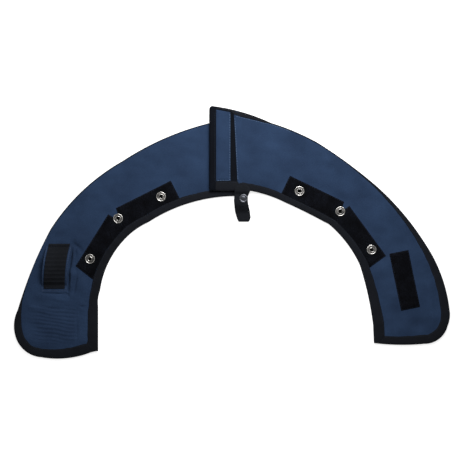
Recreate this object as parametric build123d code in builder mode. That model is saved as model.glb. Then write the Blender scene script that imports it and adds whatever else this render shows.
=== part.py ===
"""Padded horseshoe neck collar for a dog, lying flat: two quilted halves lapped at the centre."""

from build123d import *
import os

os.makedirs("parts", exist_ok=True)

# Driving dimensions, in millimetres. Z = 0 is the floor that the collar lies on.

tape = 0.8                  # folded binding tape, one layer
lining = 0.5                # back lining fabric
foam = 2.4                  # foam core
face = 0.5                  # face fabric
lining_top = tape + lining
foam_top = lining_top + foam
face_top = foam_top + face
full = face_top + tape      # a bound edge, from the under side to the top
middle = full / 2
back_band = 9.0             # width of the tape on the under side

lap_rise = 6.0              # how far the right half's end is lifted by the left tongue
ramp_start = 16.0           # the right half comes down to the floor between these two
ramp_end = 50.0
tongue_end = 12.0           # X of the hidden end of the left half
cut_gap = 0.2               # each side of a fold line

loop_pile = 1.4             # hook-and-loop strips, loop side
hook_pile = 0.9             # hook side in the lap
strip_width = 28.0          # strips along the neck, partly under the binding
patch_width = 25.0
floor_gap = 0.1             # between the floor and what is sewn on the under side

stud_flange = 6.3           # radii of a press stud
stud_boss = 2.9
stud_eye = 1.0
shank = 1.6
shank_hole = 1.8
cap_radius = 5.0
bead_lean = 0.5             # how far the rim bead slopes in to its top
bead_wide = 1.2
stud_rise = 2.3             # heights above the strip
bead_rise = 0.9
dish_rise = 0.4
edge_rise = 0.5
shank_drop = 0.6            # below the strip's top
post_drop = 0.8

strap = 1.2                 # tab webbing

tall = 60.0                 # taller than any piece
wide = 400.0                # wider than half the collar

# Fold lines: a point on each, and the level direction across it, away from the lap.

wing_fold = ((-32.5, 45.0), (-0.982, -0.187))
left_fold = ((-151.3, 11.4), (-0.752, -0.659))
right_fold = ((146.1, 20.8), (0.776, -0.631))


def fold_plane(fold, shift=0.0):
    """Upright plane along a fold line, moved across it by shift."""
    point, across = fold
    return Plane(origin=(*point, 0), z_dir=(*across, 0)).offset(shift)


# Outlines, seen from above

def left_outline():
    """Edge of the left half, from the tongue round the rim and the leg to the neck edge."""
    with BuildSketch() as region:
        with BuildLine():
            ThreePointArc((tongue_end, 147.6), (-67, 128.4), (-141.3, 90.9))
            ThreePointArc((-141.3, 90.9), (-193.1, 52.6), (-233.9, 3.1))
            ThreePointArc((-233.9, 3.1), (-260.7, -55.3), (-276.3, -101))
            ThreePointArc((-276.3, -101), (-281.2, -122), (-277.5, -140))
            ThreePointArc((-277.5, -140), (-264, -156), (-246.1, -162.1))
            ThreePointArc((-246.1, -162.1), (-213.9, -163.4), (-182.5, -156))
            Polyline((-182.5, -156), (-172.6, -154), (-172.6, -97))
            ThreePointArc((-172.6, -97), (-172.6, -86), (-170, -75.5))
            ThreePointArc((-170, -75.5), (-157.5, -36.6), (-133.9, -5.4))
            ThreePointArc((-133.9, -5.4), (-121.5, 4.5), (-107.6, 12.2))
            ThreePointArc((-107.6, 12.2), (-49.7, 38.2), (tongue_end, 45.6))
            Line((tongue_end, 45.6), (tongue_end, 147.6))
        make_face()
    return region.sketch


def left_face_outline():
    """Open fabric of the left half inside its binding tape, which rolls under along the rim."""
    with BuildSketch() as region:
        with BuildLine():
            ThreePointArc((3, 145.4), (-67.5, 127.2), (-140.6, 89.9))
            ThreePointArc((-140.6, 89.9), (-192.2, 51.8), (-232.8, 2.6))
            ThreePointArc((-232.8, 2.6), (-254.7, -41), (-270.6, -91))
            ThreePointArc((-270.6, -91), (-271.6, -110), (-270.3, -128))
            ThreePointArc((-270.3, -128), (-264.2, -141.2), (-253.1, -149.4))
            ThreePointArc((-253.1, -149.4), (-231, -151.8), (-207, -149.2))
            Polyline((-207, -149.2), (-187.6, -144.4), (-185.8, -140), (-185.8, -97), (-184.6, -97))
            ThreePointArc((-184.6, -97), (-183.8, -85), (-181.4, -73.3))
            ThreePointArc((-181.4, -73.3), (-166.9, -31.9), (-140.5, 2.1))
            ThreePointArc((-140.5, 2.1), (-127.1, 12.9), (-112.2, 20.9))
            ThreePointArc((-112.2, 20.9), (-57, 46.4), (3, 54.6))
            Line((3, 54.6), (3, 145.4))
        make_face()
    return region.sketch


def right_outline():
    """Edge of the right half, from its straight lap end round the rim and the leg."""
    with BuildSketch() as region:
        with BuildLine():
            ThreePointArc((-29.4, 156.9), (-28, 160.6), (-24, 161.5))
            ThreePointArc((-24, 161.5), (20.5, 151.6), (50.6, 140.1))
            ThreePointArc((50.6, 140.1), (80.7, 129.1), (109.6, 115.1))
            ThreePointArc((109.6, 115.1), (149.6, 88), (187.3, 57.8))
            ThreePointArc((187.3, 57.8), (220.9, 23.1), (249.4, -16))
            ThreePointArc((249.4, -16), (270.9, -59), (281, -106.2))
            ThreePointArc((281, -106.2), (280.6, -112), (277.9, -121.9))
            ThreePointArc((277.9, -121.9), (267, -138.5), (248.2, -144.8))
            ThreePointArc((248.2, -144.8), (216, -146.1), (182.8, -143.8))
            Line((182.8, -143.8), (181.8, -120.8))
            ThreePointArc((181.8, -120.8), (173.2, -73.3), (164.4, -42.4))
            ThreePointArc((164.4, -42.4), (147.8, -14.8), (125.8, 8.6))
            ThreePointArc((125.8, 8.6), (97.4, 23.7), (68.5, 37.4))
            ThreePointArc((68.5, 37.4), (46.2, 46.6), (24, 52.2))
            Polyline((24, 52.2), (-29.4, 52.2), (-29.4, 156.9))
        make_face()
    return region.sketch


def right_face_outline():
    """Open fabric of the right half inside its binding tape."""
    with BuildSketch() as region:
        with BuildLine():
            Polyline((-20.8, 64.6), (-20.8, 158), (-1.7, 154.4), (2.7, 149.7))
            ThreePointArc((2.7, 149.7), (26, 144.2), (50.2, 138.7))
            ThreePointArc((50.2, 138.7), (80.3, 128), (109, 114))
            ThreePointArc((109, 114), (148.9, 87), (185.3, 55.6))
            ThreePointArc((185.3, 55.6), (216.6, 19.8), (242.4, -19.5))
            ThreePointArc((242.4, -19.5), (260.8, -62), (269.4, -106.5))
            ThreePointArc((269.4, -106.5), (269, -112), (267, -118.6))
            ThreePointArc((267, -118.6), (259.8, -128.8), (246.6, -133.2))
            ThreePointArc((246.6, -133.2), (221, -134.9), (196.6, -134.6))
            Line((196.6, -134.6), (195.8, -118))
            ThreePointArc((195.8, -118), (185.2, -71.3), (174.6, -38.8))
            ThreePointArc((174.6, -38.8), (156, -9.8), (131.2, 15.8))
            ThreePointArc((131.2, 15.8), (101.4, 31.7), (72.2, 45.6))
            ThreePointArc((72.2, 45.6), (49, 55.1), (26, 61))
            Polyline((26, 61), (7, 64.6), (-20.8, 64.6))
        make_face()
    return region.sketch


def inset(outline, amount):
    """The same outline, moved inwards all round."""
    with BuildSketch() as region:
        add(outline)
        offset(amount=-amount, kind=Kind.ARC, mode=Mode.REPLACE)
    return region.sketch


# Sheets: an outline made thick between two levels

def flat_block(outline, low, high):
    """A sheet that lies flat."""
    with BuildPart() as block:
        with BuildSketch(Plane.XY.offset(low)):
            add(outline)
        extrude(amount=high - low)
    return block.part


def lapped_block(outline, low, high):
    """A sheet whose lap end is lifted by lap_rise, with a ramp down to the floor."""
    with BuildPart() as block:
        with BuildSketch(Plane.XY.offset(-tall / 2)):
            add(outline)
        extrude(amount=tall)
        with BuildSketch(Plane.XZ):
            Polygon(
                (-wide, low + lap_rise),
                (ramp_start, low + lap_rise),
                (ramp_end, low),
                (wide, low),
                (wide, high),
                (ramp_end, high),
                (ramp_start, high + lap_rise),
                (-wide, high + lap_rise),
                align=None,
            )
        extrude(amount=wide, both=True, mode=Mode.INTERSECT)
    return block.part


def bound_edge(block, outline, face_outline):
    """The folded tape round a half: it wraps the edge and lies on both faces of the panel."""
    with BuildPart() as edge:
        add(block(outline, 0, full))
        add(block(inset(outline, tape), tape, face_top), mode=Mode.SUBTRACT)
        add(block(face_outline, middle, full + tape), mode=Mode.SUBTRACT)
        add(block(inset(outline, back_band), -tape, middle), mode=Mode.SUBTRACT)
    return edge.part


# Cutting a half into the lengths that fold

def beyond(solid, fold):
    """What lies past a fold line, on the side away from the lap."""
    with BuildPart() as rest:
        add(solid)
        split(bisect_by=fold_plane(fold, cut_gap), keep=Keep.TOP)
    return rest.part


def before(solid, fold):
    """What lies between the lap and a fold line."""
    with BuildPart() as rest:
        add(solid)
        split(bisect_by=fold_plane(fold, -cut_gap), keep=Keep.BOTTOM)
    return rest.part


def punched(solid, points):
    """A sheet with a round hole for the shank of each stud."""
    with BuildPart() as sheet:
        add(solid)
        with BuildSketch(Plane.XY.offset(-tall / 2)):
            with Locations(*points):
                Circle(shank_hole)
        extrude(amount=tall, mode=Mode.SUBTRACT)
    return sheet.part


def inside(solid, corner, opposite):
    """The part of a solid inside an upright box given by two corners in plan."""
    size_x = abs(opposite[0] - corner[0])
    size_y = abs(opposite[1] - corner[1])
    centre = ((corner[0] + opposite[0]) / 2, (corner[1] + opposite[1]) / 2)
    with BuildPart() as rest:
        add(solid)
        with BuildSketch(Plane.XY.offset(-tall / 2)):
            with Locations(centre):
                Rectangle(size_x, size_y)
        extrude(amount=tall, mode=Mode.INTERSECT)
    return rest.part


def outside(solid, corner, opposite):
    """The part of a solid outside an upright box given by two corners in plan."""
    with BuildPart() as rest:
        add(solid)
        add(inside(solid, corner, opposite), mode=Mode.SUBTRACT)
    return rest.part


def keep(name, solid):
    """Labels a finished piece and writes it."""
    solid.label = name
    export_step(solid, f"parts/{name}.step")


# Press studs: where they stand, on the near and far side of each fold

stud_rows = {
    "left_upper": [(-91.4, 45.1), (-146.8, 16.9)],
    "left_leg": [(-182.9, -35.1)],
    "right_upper": [(86.9, 52.2), (139.5, 26.1)],
    "right_leg": [(179.8, -23.3)],
}
all_studs = sum(stud_rows.values(), [])


# Panels: face fabric, foam core and back lining of each length, then the tape round it

layers = {"lining": (tape, lining_top), "foam": (lining_top, foam_top), "face": (foam_top, face_top)}
left_body = inset(left_outline(), tape)
right_body = inset(right_outline(), tape)

for kind, (low, high) in layers.items():
    sheet = punched(flat_block(left_body, low, high), all_studs)
    keep(f"left_tongue_{kind}", before(sheet, wing_fold))
    keep(f"left_upper_{kind}", before(beyond(sheet, wing_fold), left_fold))
    keep(f"left_leg_{kind}", beyond(sheet, left_fold))

# The right half's face fabric stops at a turned edge, and black tape carries on to the end.

turned_edge = ((5, 100), (0.9987, 0.05))

for kind, (low, high) in layers.items():
    sheet = punched(lapped_block(right_body, low, high), all_studs)
    upper = before(sheet, right_fold)
    if kind == "face":
        keep("lap_end_tape", before(upper, turned_edge))
        upper = beyond(upper, turned_edge)
    keep(f"right_upper_{kind}", upper)
    keep(f"right_leg_{kind}", beyond(sheet, right_fold))

left_edge = bound_edge(flat_block, left_outline(), left_face_outline())
right_edge = bound_edge(lapped_block, right_outline(), right_face_outline())

# Binding of the left half. The leg's wide end tape runs from a step in the neck edge.

step_level = -97.0          # Y of the step
rim_join_level = -95.0      # Y where the rim's tape meets the end tape
foot_middle = -230.0        # X between the two joins
left_end = ((foot_middle, step_level), (-150.0, -180.0))
left_end_rim = ((-300.0, rim_join_level), (foot_middle, -180.0))

keep("left_tongue_binding", before(left_edge, wing_fold))
left_upper_edge = before(beyond(left_edge, wing_fold), left_fold)
left_leg_edge = beyond(left_edge, left_fold)
for name, solid in zip(("neck", "rim"), left_upper_edge.solids().sort_by(Axis.Y)):
    keep(f"left_upper_{name}_binding", Part(solid.wrapped))
with BuildPart() as left_end_binding:
    add(inside(left_leg_edge, *left_end))
    add(inside(left_leg_edge, *left_end_rim))
keep("left_leg_end_binding", left_end_binding.part)
left_leg_sides = outside(outside(left_leg_edge, *left_end), *left_end_rim)
for name, solid in zip(("rim", "neck"), left_leg_sides.solids().sort_by(Axis.X)):
    keep(f"left_leg_{name}_binding", Part(solid.wrapped))

# Binding of the right half: a straight end tape, the neck edge, the rim, and round the leg's end.

end_tape_edge = -19.6       # X where the end tape stops
end_box = ((-wide, -wide), (end_tape_edge, wide))
right_corner = ((100.0, -134.0), (300.0, -180.0))

right_upper_edge = before(right_edge, right_fold)
keep("right_end_binding", inside(right_upper_edge, *end_box))
right_upper_sides = outside(right_upper_edge, *end_box)
for name, solid in zip(("neck", "rim"), right_upper_sides.solids().sort_by(Axis.Y)):
    keep(f"right_upper_{name}_binding", Part(solid.wrapped))
right_leg_edge = beyond(right_edge, right_fold)
keep("right_leg_end_binding", inside(right_leg_edge, *right_corner))
right_leg_sides = outside(right_leg_edge, *right_corner)
for name, solid in zip(("neck", "rim"), right_leg_sides.solids().sort_by(Axis.X)):
    keep(f"right_leg_{name}_binding", Part(solid.wrapped))


# Hook-and-loop strips along the neck edge

def loop_strip(corner, far_corner, side, face_outline, near_slant=0.0, far_slant=0.0):
    """A loop strip on the face fabric, along a line between two corners of its outer edge.

    side is +1 or -1, to the left or right of that line, and the strip stops at the binding tape.
    The slants are how much further each end reaches along the neck than along the outer edge.
    """
    edge = Vector(*far_corner) - Vector(*corner)
    with BuildPart() as pile:
        with BuildSketch(Plane(origin=(*corner, face_top), x_dir=edge, z_dir=(0, 0, 1))):
            Polygon(
                (0, 0),
                (edge.length, 0),
                (edge.length + far_slant, side * strip_width),
                (-near_slant, side * strip_width),
                align=None,
            )
        extrude(amount=loop_pile)
        add(flat_block(face_outline, 0, tall), mode=Mode.INTERSECT)
    return punched(pile.part, all_studs)


left_open = left_face_outline()
right_open = right_face_outline()
left_upper_strip = loop_strip((-149.6, 30.1), (-79.0, 65.6), -1, left_open, near_slant=5)
left_lower_strip = loop_strip((-159.5, 22.3), (-201.6, -44.5), 1, left_open, far_slant=3)
right_upper_strip = loop_strip((74.6, 72.0), (144.5, 38.3), -1, right_open, far_slant=4)
right_lower_strip = loop_strip((151.2, 33.1), (198.4, -31.3), -1, right_open)
keep("left_upper_strip", before(left_upper_strip, left_fold))
keep("left_lower_strip", beyond(left_lower_strip, left_fold))
keep("right_upper_strip", before(right_upper_strip, right_fold))
keep("right_lower_strip", beyond(right_lower_strip, right_fold))


# Press studs on top of the strips, riveted through to a cap on the back

def studs(points):
    """A row of studs: a beaded flange, a boss with an eye, and a shank through the panel."""
    flange_low = face_top + loop_pile
    profile = [
        (stud_eye, flange_low - shank_drop),
        (shank, flange_low - shank_drop),
        (shank, flange_low),
        (stud_flange, flange_low),
        (stud_flange, flange_low + edge_rise),
        (stud_flange - bead_lean, flange_low + bead_rise),
        (stud_flange - bead_wide, flange_low + dish_rise),
        (stud_boss, flange_low + dish_rise),
        (stud_boss, flange_low + stud_rise),
        (stud_eye, flange_low + stud_rise),
    ]
    with BuildPart() as row:
        with BuildSketch(Plane.XZ):
            Polygon(*profile, align=None)
        revolve(axis=Axis.Z)
    with BuildPart() as placed:
        with Locations(*points):
            add(row.part)
    return placed.part


def caps(points):
    """The back cap of each stud: a thin dome whose post runs up inside the shank."""
    post_top = face_top + loop_pile - post_drop
    with BuildPart() as row:
        with BuildSketch(Plane.XY.offset(floor_gap)):
            with Locations(*points):
                Circle(cap_radius)
        extrude(amount=tape - floor_gap)
        with BuildSketch(Plane.XY.offset(tape)):
            with Locations(*points):
                Circle(shank)
        extrude(amount=post_top - tape)
    return row.part


for name, points in stud_rows.items():
    keep(f"{name}_press_studs", studs(points))
    keep(f"{name}_stud_caps", caps(points))


# Flat patches of hook or loop: the closure of the two legs, and the lap

def patch(place, turn, size, low, thick):
    """A flat patch, from its middle, how far it is turned, its width and length, and its level."""
    with BuildPart() as pad:
        with BuildSketch(Plane.XY.offset(low)):
            with Locations(Location((*place, 0), (0, 0, turn))):
                Rectangle(*size)
        extrude(amount=thick)
    return pad.part


closure_size = (patch_width, 75.0)
lap_size = (24.0, 76.0)
keep("closure_loop_patch", patch((222.4, -62.9), 11.7, closure_size, face_top, loop_pile))
keep("closure_hook_patch", patch((-215.0, -110.0), 0, closure_size, floor_gap, tape - floor_gap))
keep("lap_loop_patch", patch((-10.0, 103.0), 0, lap_size, face_top, loop_pile))
lap_hook_low = lap_rise + tape - hook_pile
keep("lap_hook_patch", patch((-6.0, 108.0), 0, lap_size, lap_hook_low, hook_pile))


# Stay channel: a stitched sleeve of face fabric on the lap end, with a flexible stay inside

channel_low = lap_rise + face_top
channel_wall = 0.4
channel_gap = 0.1           # round the stay, and above it
channel_left = -20.6
channel_right = -2.0
channel_foot = 65.0
stay_place = (-11.3, 108.5)
stay_wide = 14.0
stay_long = 82.0
stay_thick = 1.0
stay_corner = 3.0

with BuildPart() as stay_channel:
    with BuildSketch(Plane.XY.offset(channel_low)):
        Polygon(
            (channel_left, channel_foot),
            (channel_right, channel_foot),
            (channel_right, 153.6),
            (channel_left, 157.0),
            align=None,
        )
    extrude(amount=stay_thick + channel_wall + channel_gap)
    with BuildSketch(Plane.XY.offset(channel_low)):
        with Locations(stay_place):
            Rectangle(stay_wide + 2 * channel_gap, stay_long + 2 * channel_gap)
    extrude(amount=stay_thick + channel_gap, mode=Mode.SUBTRACT)
keep("stay_channel", stay_channel.part)

with BuildPart() as stay:
    with BuildSketch(Plane.XY.offset(channel_low)):
        with Locations(stay_place):
            RectangleRounded(stay_wide, stay_long, stay_corner)
    extrude(amount=stay_thick)
keep("stay", stay.part)


# Keeper loop on the left leg: ribbed webbing sewn on a wider navy backing, both bowed off the face

keeper_centre = (-225.6, -44.8)
keeper_tilt = -6.5          # degrees from +Y, leaning outwards at the bottom
keeper_span = 57.6
keeper_width = 27.0
keeper_bow = 9.0            # height of the backing's under side at the middle
backing = 0.6
backing_lip = 2.6           # how far the backing shows past each edge of the webbing
keeper_hem = 5.0            # and past its lower end
webbing = 1.5
seat = 4.0                  # sewn length at each end

keeper_frame = Plane(origin=(*keeper_centre, face_top)).rotated((0, 0, keeper_tilt))
keeper_side = Plane(origin=keeper_frame.origin, x_dir=keeper_frame.y_dir, z_dir=keeper_frame.x_dir)


def bowed_band(low, thick, hem, width):
    """A band along the keeper, flat at its sewn ends and bowed between them."""
    half = keeper_span / 2
    reach = half - seat
    high = low + thick
    with BuildPart() as band:
        with BuildSketch(keeper_side):
            with BuildLine():
                ThreePointArc((-reach, low), (0, low + keeper_bow), (reach, low))
                Polyline((reach, low), (half, low), (half, high), (reach, high))
                ThreePointArc((reach, high), (0, high + keeper_bow), (-reach, high))
                Polyline((-reach, high), (-half - hem, high), (-half - hem, low), (-reach, low))
            make_face()
        extrude(amount=width / 2, both=True)
    return band.part


keep("keeper_backing", bowed_band(0, backing, keeper_hem, keeper_width + 2 * backing_lip))
keep("keeper_webbing", bowed_band(backing, webbing, 0, keeper_width))


# Snap tab: one length of webbing folded at the bottom, sewn to the neck edge of the lap

tab_side = 5.0              # X of the side planes of the tab's extrusion, beyond its outline
tab_bend = 2.0              # bend radius of the webbing's middle line
fold_y = 13.9
root_y = 51.2
tip_y = 60.7
fold_back_level = 0.9       # middle lines of the two lengths, at the fold and at the top
fold_front_level = 2.6
back_level = 6.0
front_level = 10.2
tip_level = 13.2

snap_place = (14.6, 42.6)
stud_base = 5.0             # radii of the snap
snap_post = 2.0
snap_eye = 2.35             # socket bore, round the stud's post
socket_radius = 5.4
dome_radius = 5.7
dome_edge = 1.2
rivet = 1.1
rivet_hole = 1.2
base_thick = 0.6            # heights in the snap
post_tall = 1.5
socket_gap = 0.4            # between the stud's base and the socket
dome_tall = 1.5
rivet_reach = 1.0


def tab_outline():
    """The tab in plan: rounded tip above, a waist at the snap, cut corners at the fold."""
    with BuildSketch() as shape:
        with BuildLine():
            Polyline((3.4, 53), (2.4, 40), (3.8, 26), (6.6, 16.4), (8.6, 12.8), (18.6, 13.6))
            Polyline((18.6, 13.6), (22.4, 14.6), (24, 18.4), (23, 26.2), (20.5, 37.3), (20.2, 45.1))
            Line((20.2, 45.1), (23.6, 53))
            ThreePointArc((23.6, 53), (13.6, 60.8), (3.4, 53))
        make_face()
    return shape.sketch


def strap_length(path_points):
    """A length of webbing whose middle line, in the YZ plane, is given by its corners."""
    with BuildPart() as length:
        with BuildSketch(Plane.YZ.offset(-tab_side)):
            with BuildLine():
                path = FilletPolyline(*path_points, radius=tab_bend)
            trace(path, line_width=strap)
        extrude(amount=tall / 2 + tab_side)
        with BuildSketch(Plane.XY.offset(-1)):
            add(tab_outline())
        extrude(amount=tall, mode=Mode.INTERSECT)
    return length.part


back_path = [(root_y, back_level), (37, back_level), (28, fold_back_level), (fold_y + 0.5, fold_back_level)]
front_path = [
    (fold_y + 0.2, fold_front_level),
    (25, fold_front_level),
    (35, front_level),
    (48.3, front_level),
    (52.4, tip_level),
    (tip_y + 1, tip_level),
]
keep("tab_back_strap", strap_length(back_path))

with BuildPart() as tab_front_strap:
    add(strap_length(front_path))
    with BuildSketch(Plane.XY.offset(front_level - strap)):
        with Locations(snap_place):
            Circle(rivet_hole)
    extrude(amount=2 * strap, mode=Mode.SUBTRACT)
keep("tab_front_strap", tab_front_strap.part)


def snap_disc(radius, low, thick):
    """A round disc of the snap."""
    with BuildPart() as disc:
        with BuildSketch(Plane.XY.offset(low)):
            with Locations(snap_place):
                Circle(radius)
        extrude(amount=thick)
    return disc.part


back_top = back_level + strap / 2
front_low = front_level - strap / 2
front_top = front_level + strap / 2
base_top = back_top + base_thick
socket_low = base_top + socket_gap

with BuildPart() as tab_snap_stud:
    add(snap_disc(stud_base, back_top, base_thick))
    add(snap_disc(snap_post, base_top, post_tall))
keep("tab_snap_stud", tab_snap_stud.part)

with BuildPart() as tab_snap_socket:
    add(snap_disc(socket_radius, socket_low, front_low - socket_low))
    add(snap_disc(snap_eye, socket_low, front_low - socket_low), mode=Mode.SUBTRACT)
keep("tab_snap_socket", tab_snap_socket.part)

with BuildPart() as tab_snap_cap:
    add(snap_disc(dome_radius, front_top, dome_tall))
    fillet(tab_snap_cap.edges().group_by(Axis.Z)[-1], radius=dome_edge)
    add(snap_disc(rivet, front_top - rivet_reach, rivet_reach))
keep("tab_snap_cap", tab_snap_cap.part)
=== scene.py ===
import math

import bpy
import numpy as np
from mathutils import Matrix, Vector
from mathutils.geometry import delaunay_2d_cdt


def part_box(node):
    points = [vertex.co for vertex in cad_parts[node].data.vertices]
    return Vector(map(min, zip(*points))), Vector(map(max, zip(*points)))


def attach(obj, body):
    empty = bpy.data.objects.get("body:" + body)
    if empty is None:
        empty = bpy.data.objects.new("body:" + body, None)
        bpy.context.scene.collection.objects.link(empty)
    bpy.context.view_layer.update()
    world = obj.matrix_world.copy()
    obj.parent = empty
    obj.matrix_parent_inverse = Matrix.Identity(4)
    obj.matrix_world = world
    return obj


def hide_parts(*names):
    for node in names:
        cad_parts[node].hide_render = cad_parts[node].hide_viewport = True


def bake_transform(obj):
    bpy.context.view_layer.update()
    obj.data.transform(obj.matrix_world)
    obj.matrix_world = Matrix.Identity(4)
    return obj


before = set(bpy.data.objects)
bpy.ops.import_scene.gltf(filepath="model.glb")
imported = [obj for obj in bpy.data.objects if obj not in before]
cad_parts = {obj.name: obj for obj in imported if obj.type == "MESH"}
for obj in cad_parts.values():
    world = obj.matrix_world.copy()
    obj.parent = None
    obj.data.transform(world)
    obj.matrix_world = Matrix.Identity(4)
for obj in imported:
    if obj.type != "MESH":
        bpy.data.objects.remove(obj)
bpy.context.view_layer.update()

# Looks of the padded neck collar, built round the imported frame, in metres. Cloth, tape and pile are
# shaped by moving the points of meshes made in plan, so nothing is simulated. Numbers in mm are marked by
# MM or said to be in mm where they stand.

MM = 0.001
TAU = 2 * math.pi
TINY = 1e-9                     # keeps a division from failing where a length is nothing


def smooth_step(value, low, high):
    """0 below low, 1 above high, and an even S-curve between."""
    t = np.clip((value - low) / (high - low), 0, 1)
    return t * t * (3 - 2 * t)


# ---------------------------------------------------------------- levels, read from the frame

def low_z(node):
    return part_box(node)[0].z


def high_z(node):
    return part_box(node)[1].z


TAPE = low_z("left_upper_lining")
FACE = high_z("left_upper_face")
FULL = high_z("left_upper_rim_binding")
MIDDLE = FULL / 2
PILE = high_z("left_upper_strip") - FACE
RISE = low_z("right_end_binding")
SAME_LEVEL = 0.01 * MM
RAMP_HEAD, RAMP_TOE = 2 * MM, 4 * MM    # how far the cloth's ramp reaches past the CAD's, high and low


def corner_points(node):
    """A CAD node's vertices, as an array."""
    return np.array([v.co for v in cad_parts[node].data.vertices], float)


def ramp_ends():
    """X where the right half's ramp starts and ends, from the under side of its lining."""
    points = corner_points("right_upper_lining")
    raised = points[np.abs(points[:, 2] - TAPE - RISE) < SAME_LEVEL]
    floor = points[np.abs(points[:, 2] - TAPE) < SAME_LEVEL]
    return raised[:, 0].max(), floor[:, 0].min()


RAMP_START, RAMP_END = ramp_ends()


def cad_lift(x):
    """How far the CAD lifts the right half at x."""
    return RISE * np.clip((RAMP_END - x) / (RAMP_END - RAMP_START), 0, 1)


def soft_lift(x):
    """The same ramp with its two bends rounded, as cloth lies."""
    return RISE * smooth_step(-x, -RAMP_END - RAMP_TOE, RAMP_HEAD - RAMP_START)


def no_lift(x):
    return np.zeros_like(x)


# ---------------------------------------------------------------- outlines in plan

def plan_loops(node, facing, lowest, highest, lift):
    """Outlines in plan of the node's faces that look up (1) or down (-1) between two levels.

    Levels are as if the half lay flat. The longest outline comes first.
    """
    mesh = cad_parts[node].data
    key = {}
    for v in mesh.vertices:
        key[v.index] = tuple(round(c, 6) for c in v.co)
    count = {}
    for face in mesh.polygons:
        centre = face.center
        level = centre.z - float(lift(np.array(centre.x)))
        if face.normal.z * facing < 0.5 or not lowest <= level <= highest:
            continue
        corners = [key[i] for i in face.vertices]
        for a, b in zip(corners, corners[1:] + corners[:1]):
            if a != b:
                edge = (min(a, b), max(a, b))
                count[edge] = count.get(edge, 0) + 1
    links = {}
    for (a, b), uses in count.items():
        if uses == 1:
            links.setdefault(a, []).append(b)
            links.setdefault(b, []).append(a)
    loops = []
    while links:
        start = min(links)
        loop = [start]
        here = start
        while links.get(here):
            there = links[here].pop()
            links[there].remove(here)
            loop.append(there)
            here = there
        links = {k: v for k, v in links.items() if v}
        loops.append(np.array(loop[:-1])[:, :2])
    return sorted(loops, key=perimeter, reverse=True)


def perimeter(loop):
    return np.linalg.norm(np.roll(loop, -1, 0) - loop, axis=1).sum()


def anticlockwise(loop):
    """The outline, turned round if it runs clockwise."""
    x, y = loop.T
    area = (x * np.roll(y, -1) - np.roll(x, -1) * y).sum()
    return loop if area > 0 else loop[::-1]


def within(points, loop):
    """Which points lie inside a closed outline."""
    x, y = points[:, 0][:, None], points[:, 1][:, None]
    x0, y0 = loop[:, 0], loop[:, 1]
    x1, y1 = np.roll(x0, -1), np.roll(y0, -1)
    spans = (y0 > y) != (y1 > y)
    rise = np.where(y1 == y0, TINY, y1 - y0)
    crosses = spans & (x < x0 + (y - y0) * (x1 - x0) / rise)
    return crosses.sum(1) % 2 == 1


BATCH = 2000                    # points measured at a time, to spare memory


def nearest(points, loop, closed=True):
    """Nearest point of an outline to each point, and the distance."""
    a = loop if closed else loop[:-1]
    b = np.roll(loop, -1, 0) if closed else loop[1:]
    along = b - a
    length = (along ** 2).sum(1) + TINY ** 2
    best = []
    gap = []
    for some in np.array_split(points, 1 + len(points) // BATCH):
        t = ((some[:, None] - a) * along).sum(2) / length
        foot = a + np.clip(t, 0, 1)[..., None] * along
        away = np.linalg.norm(some[:, None] - foot, axis=2)
        pick = (np.arange(len(some)), away.argmin(1))
        best.append(foot[pick])
        gap.append(away[pick])
    return np.vstack(best), np.concatenate(gap)


def gap_inside(points, loop):
    """How far each point is inside an outline, or 0."""
    return np.where(within(points, loop), nearest(points, loop)[1], 0)


def gap_outside(points, loop):
    """How far each point is outside an outline, or 0."""
    return np.where(within(points, loop), 0, nearest(points, loop)[1])


def split_runs(loop, panels):
    """A tape's outline cut in two: its run on the open side, and its run on the outer side."""
    inner = np.zeros(len(loop), bool)
    for panel in panels:
        inner |= within(loop, panel) | (nearest(loop, panel)[1] < TAPE / 2)
    longest = []
    run = []
    for i in range(2 * len(loop)):
        run = [] if inner[i % len(loop)] else run + [i]
        longest = max(longest, run, key=len)
    rest = np.arange(longest[-1] + 1, longest[0] + len(loop)) % len(loop)
    return loop[rest], loop[np.array(longest) % len(loop)]


SAME_POINT = 0.3 * MM


def chained(runs):
    """Runs joined end to end, each to the nearest one left, into one closed outline."""
    runs = sorted(runs, key=len, reverse=True)
    chain = runs.pop(0)
    while runs:
        ends = []
        for i, run in enumerate(runs):
            ends.append((np.linalg.norm(run[0] - chain[-1]), i, False))
            ends.append((np.linalg.norm(run[-1] - chain[-1]), i, True))
        _, i, backwards = min(ends)
        run = runs.pop(i)
        chain = np.vstack([chain, run[::-1] if backwards else run])
    keep = np.linalg.norm(np.roll(chain, -1, 0) - chain, axis=1) > SAME_POINT
    return anticlockwise(chain[keep])


def smooth_run(points, spacing):
    """An open run resampled evenly along a curve through its points."""
    if len(points) < 3:
        steps = max(1, round(np.linalg.norm(points[-1] - points[0]) / spacing))
        return points[0] + np.linspace(0, 1, steps + 1)[:, None] * (points[-1] - points[0])
    gaps = np.linalg.norm(np.diff(points, axis=0), axis=1)
    at = np.r_[0, np.cumsum(gaps)]
    slope = np.empty_like(points)
    rates = np.diff(points, axis=0) / gaps[:, None]
    before, after = gaps[:-1, None], gaps[1:, None]
    slope[1:-1] = (rates[:-1] * after + rates[1:] * before) / (before + after)
    slope[0] = 2 * rates[0] - slope[1]
    slope[-1] = 2 * rates[-1] - slope[-2]
    steps = max(1, round(at[-1] / spacing))
    want = np.linspace(0, at[-1], steps + 1)
    i = np.clip(np.searchsorted(at, want, side="right") - 1, 0, len(gaps) - 1)
    h = gaps[i][:, None]
    t = ((want - at[i]) / gaps[i])[:, None]
    bend = (2 * t ** 3 - 3 * t ** 2 + 1) * points[i] + (t ** 3 - 2 * t ** 2 + t) * h * slope[i]
    return bend + (3 * t ** 2 - 2 * t ** 3) * points[i + 1] + (t ** 3 - t ** 2) * h * slope[i + 1]


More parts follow.
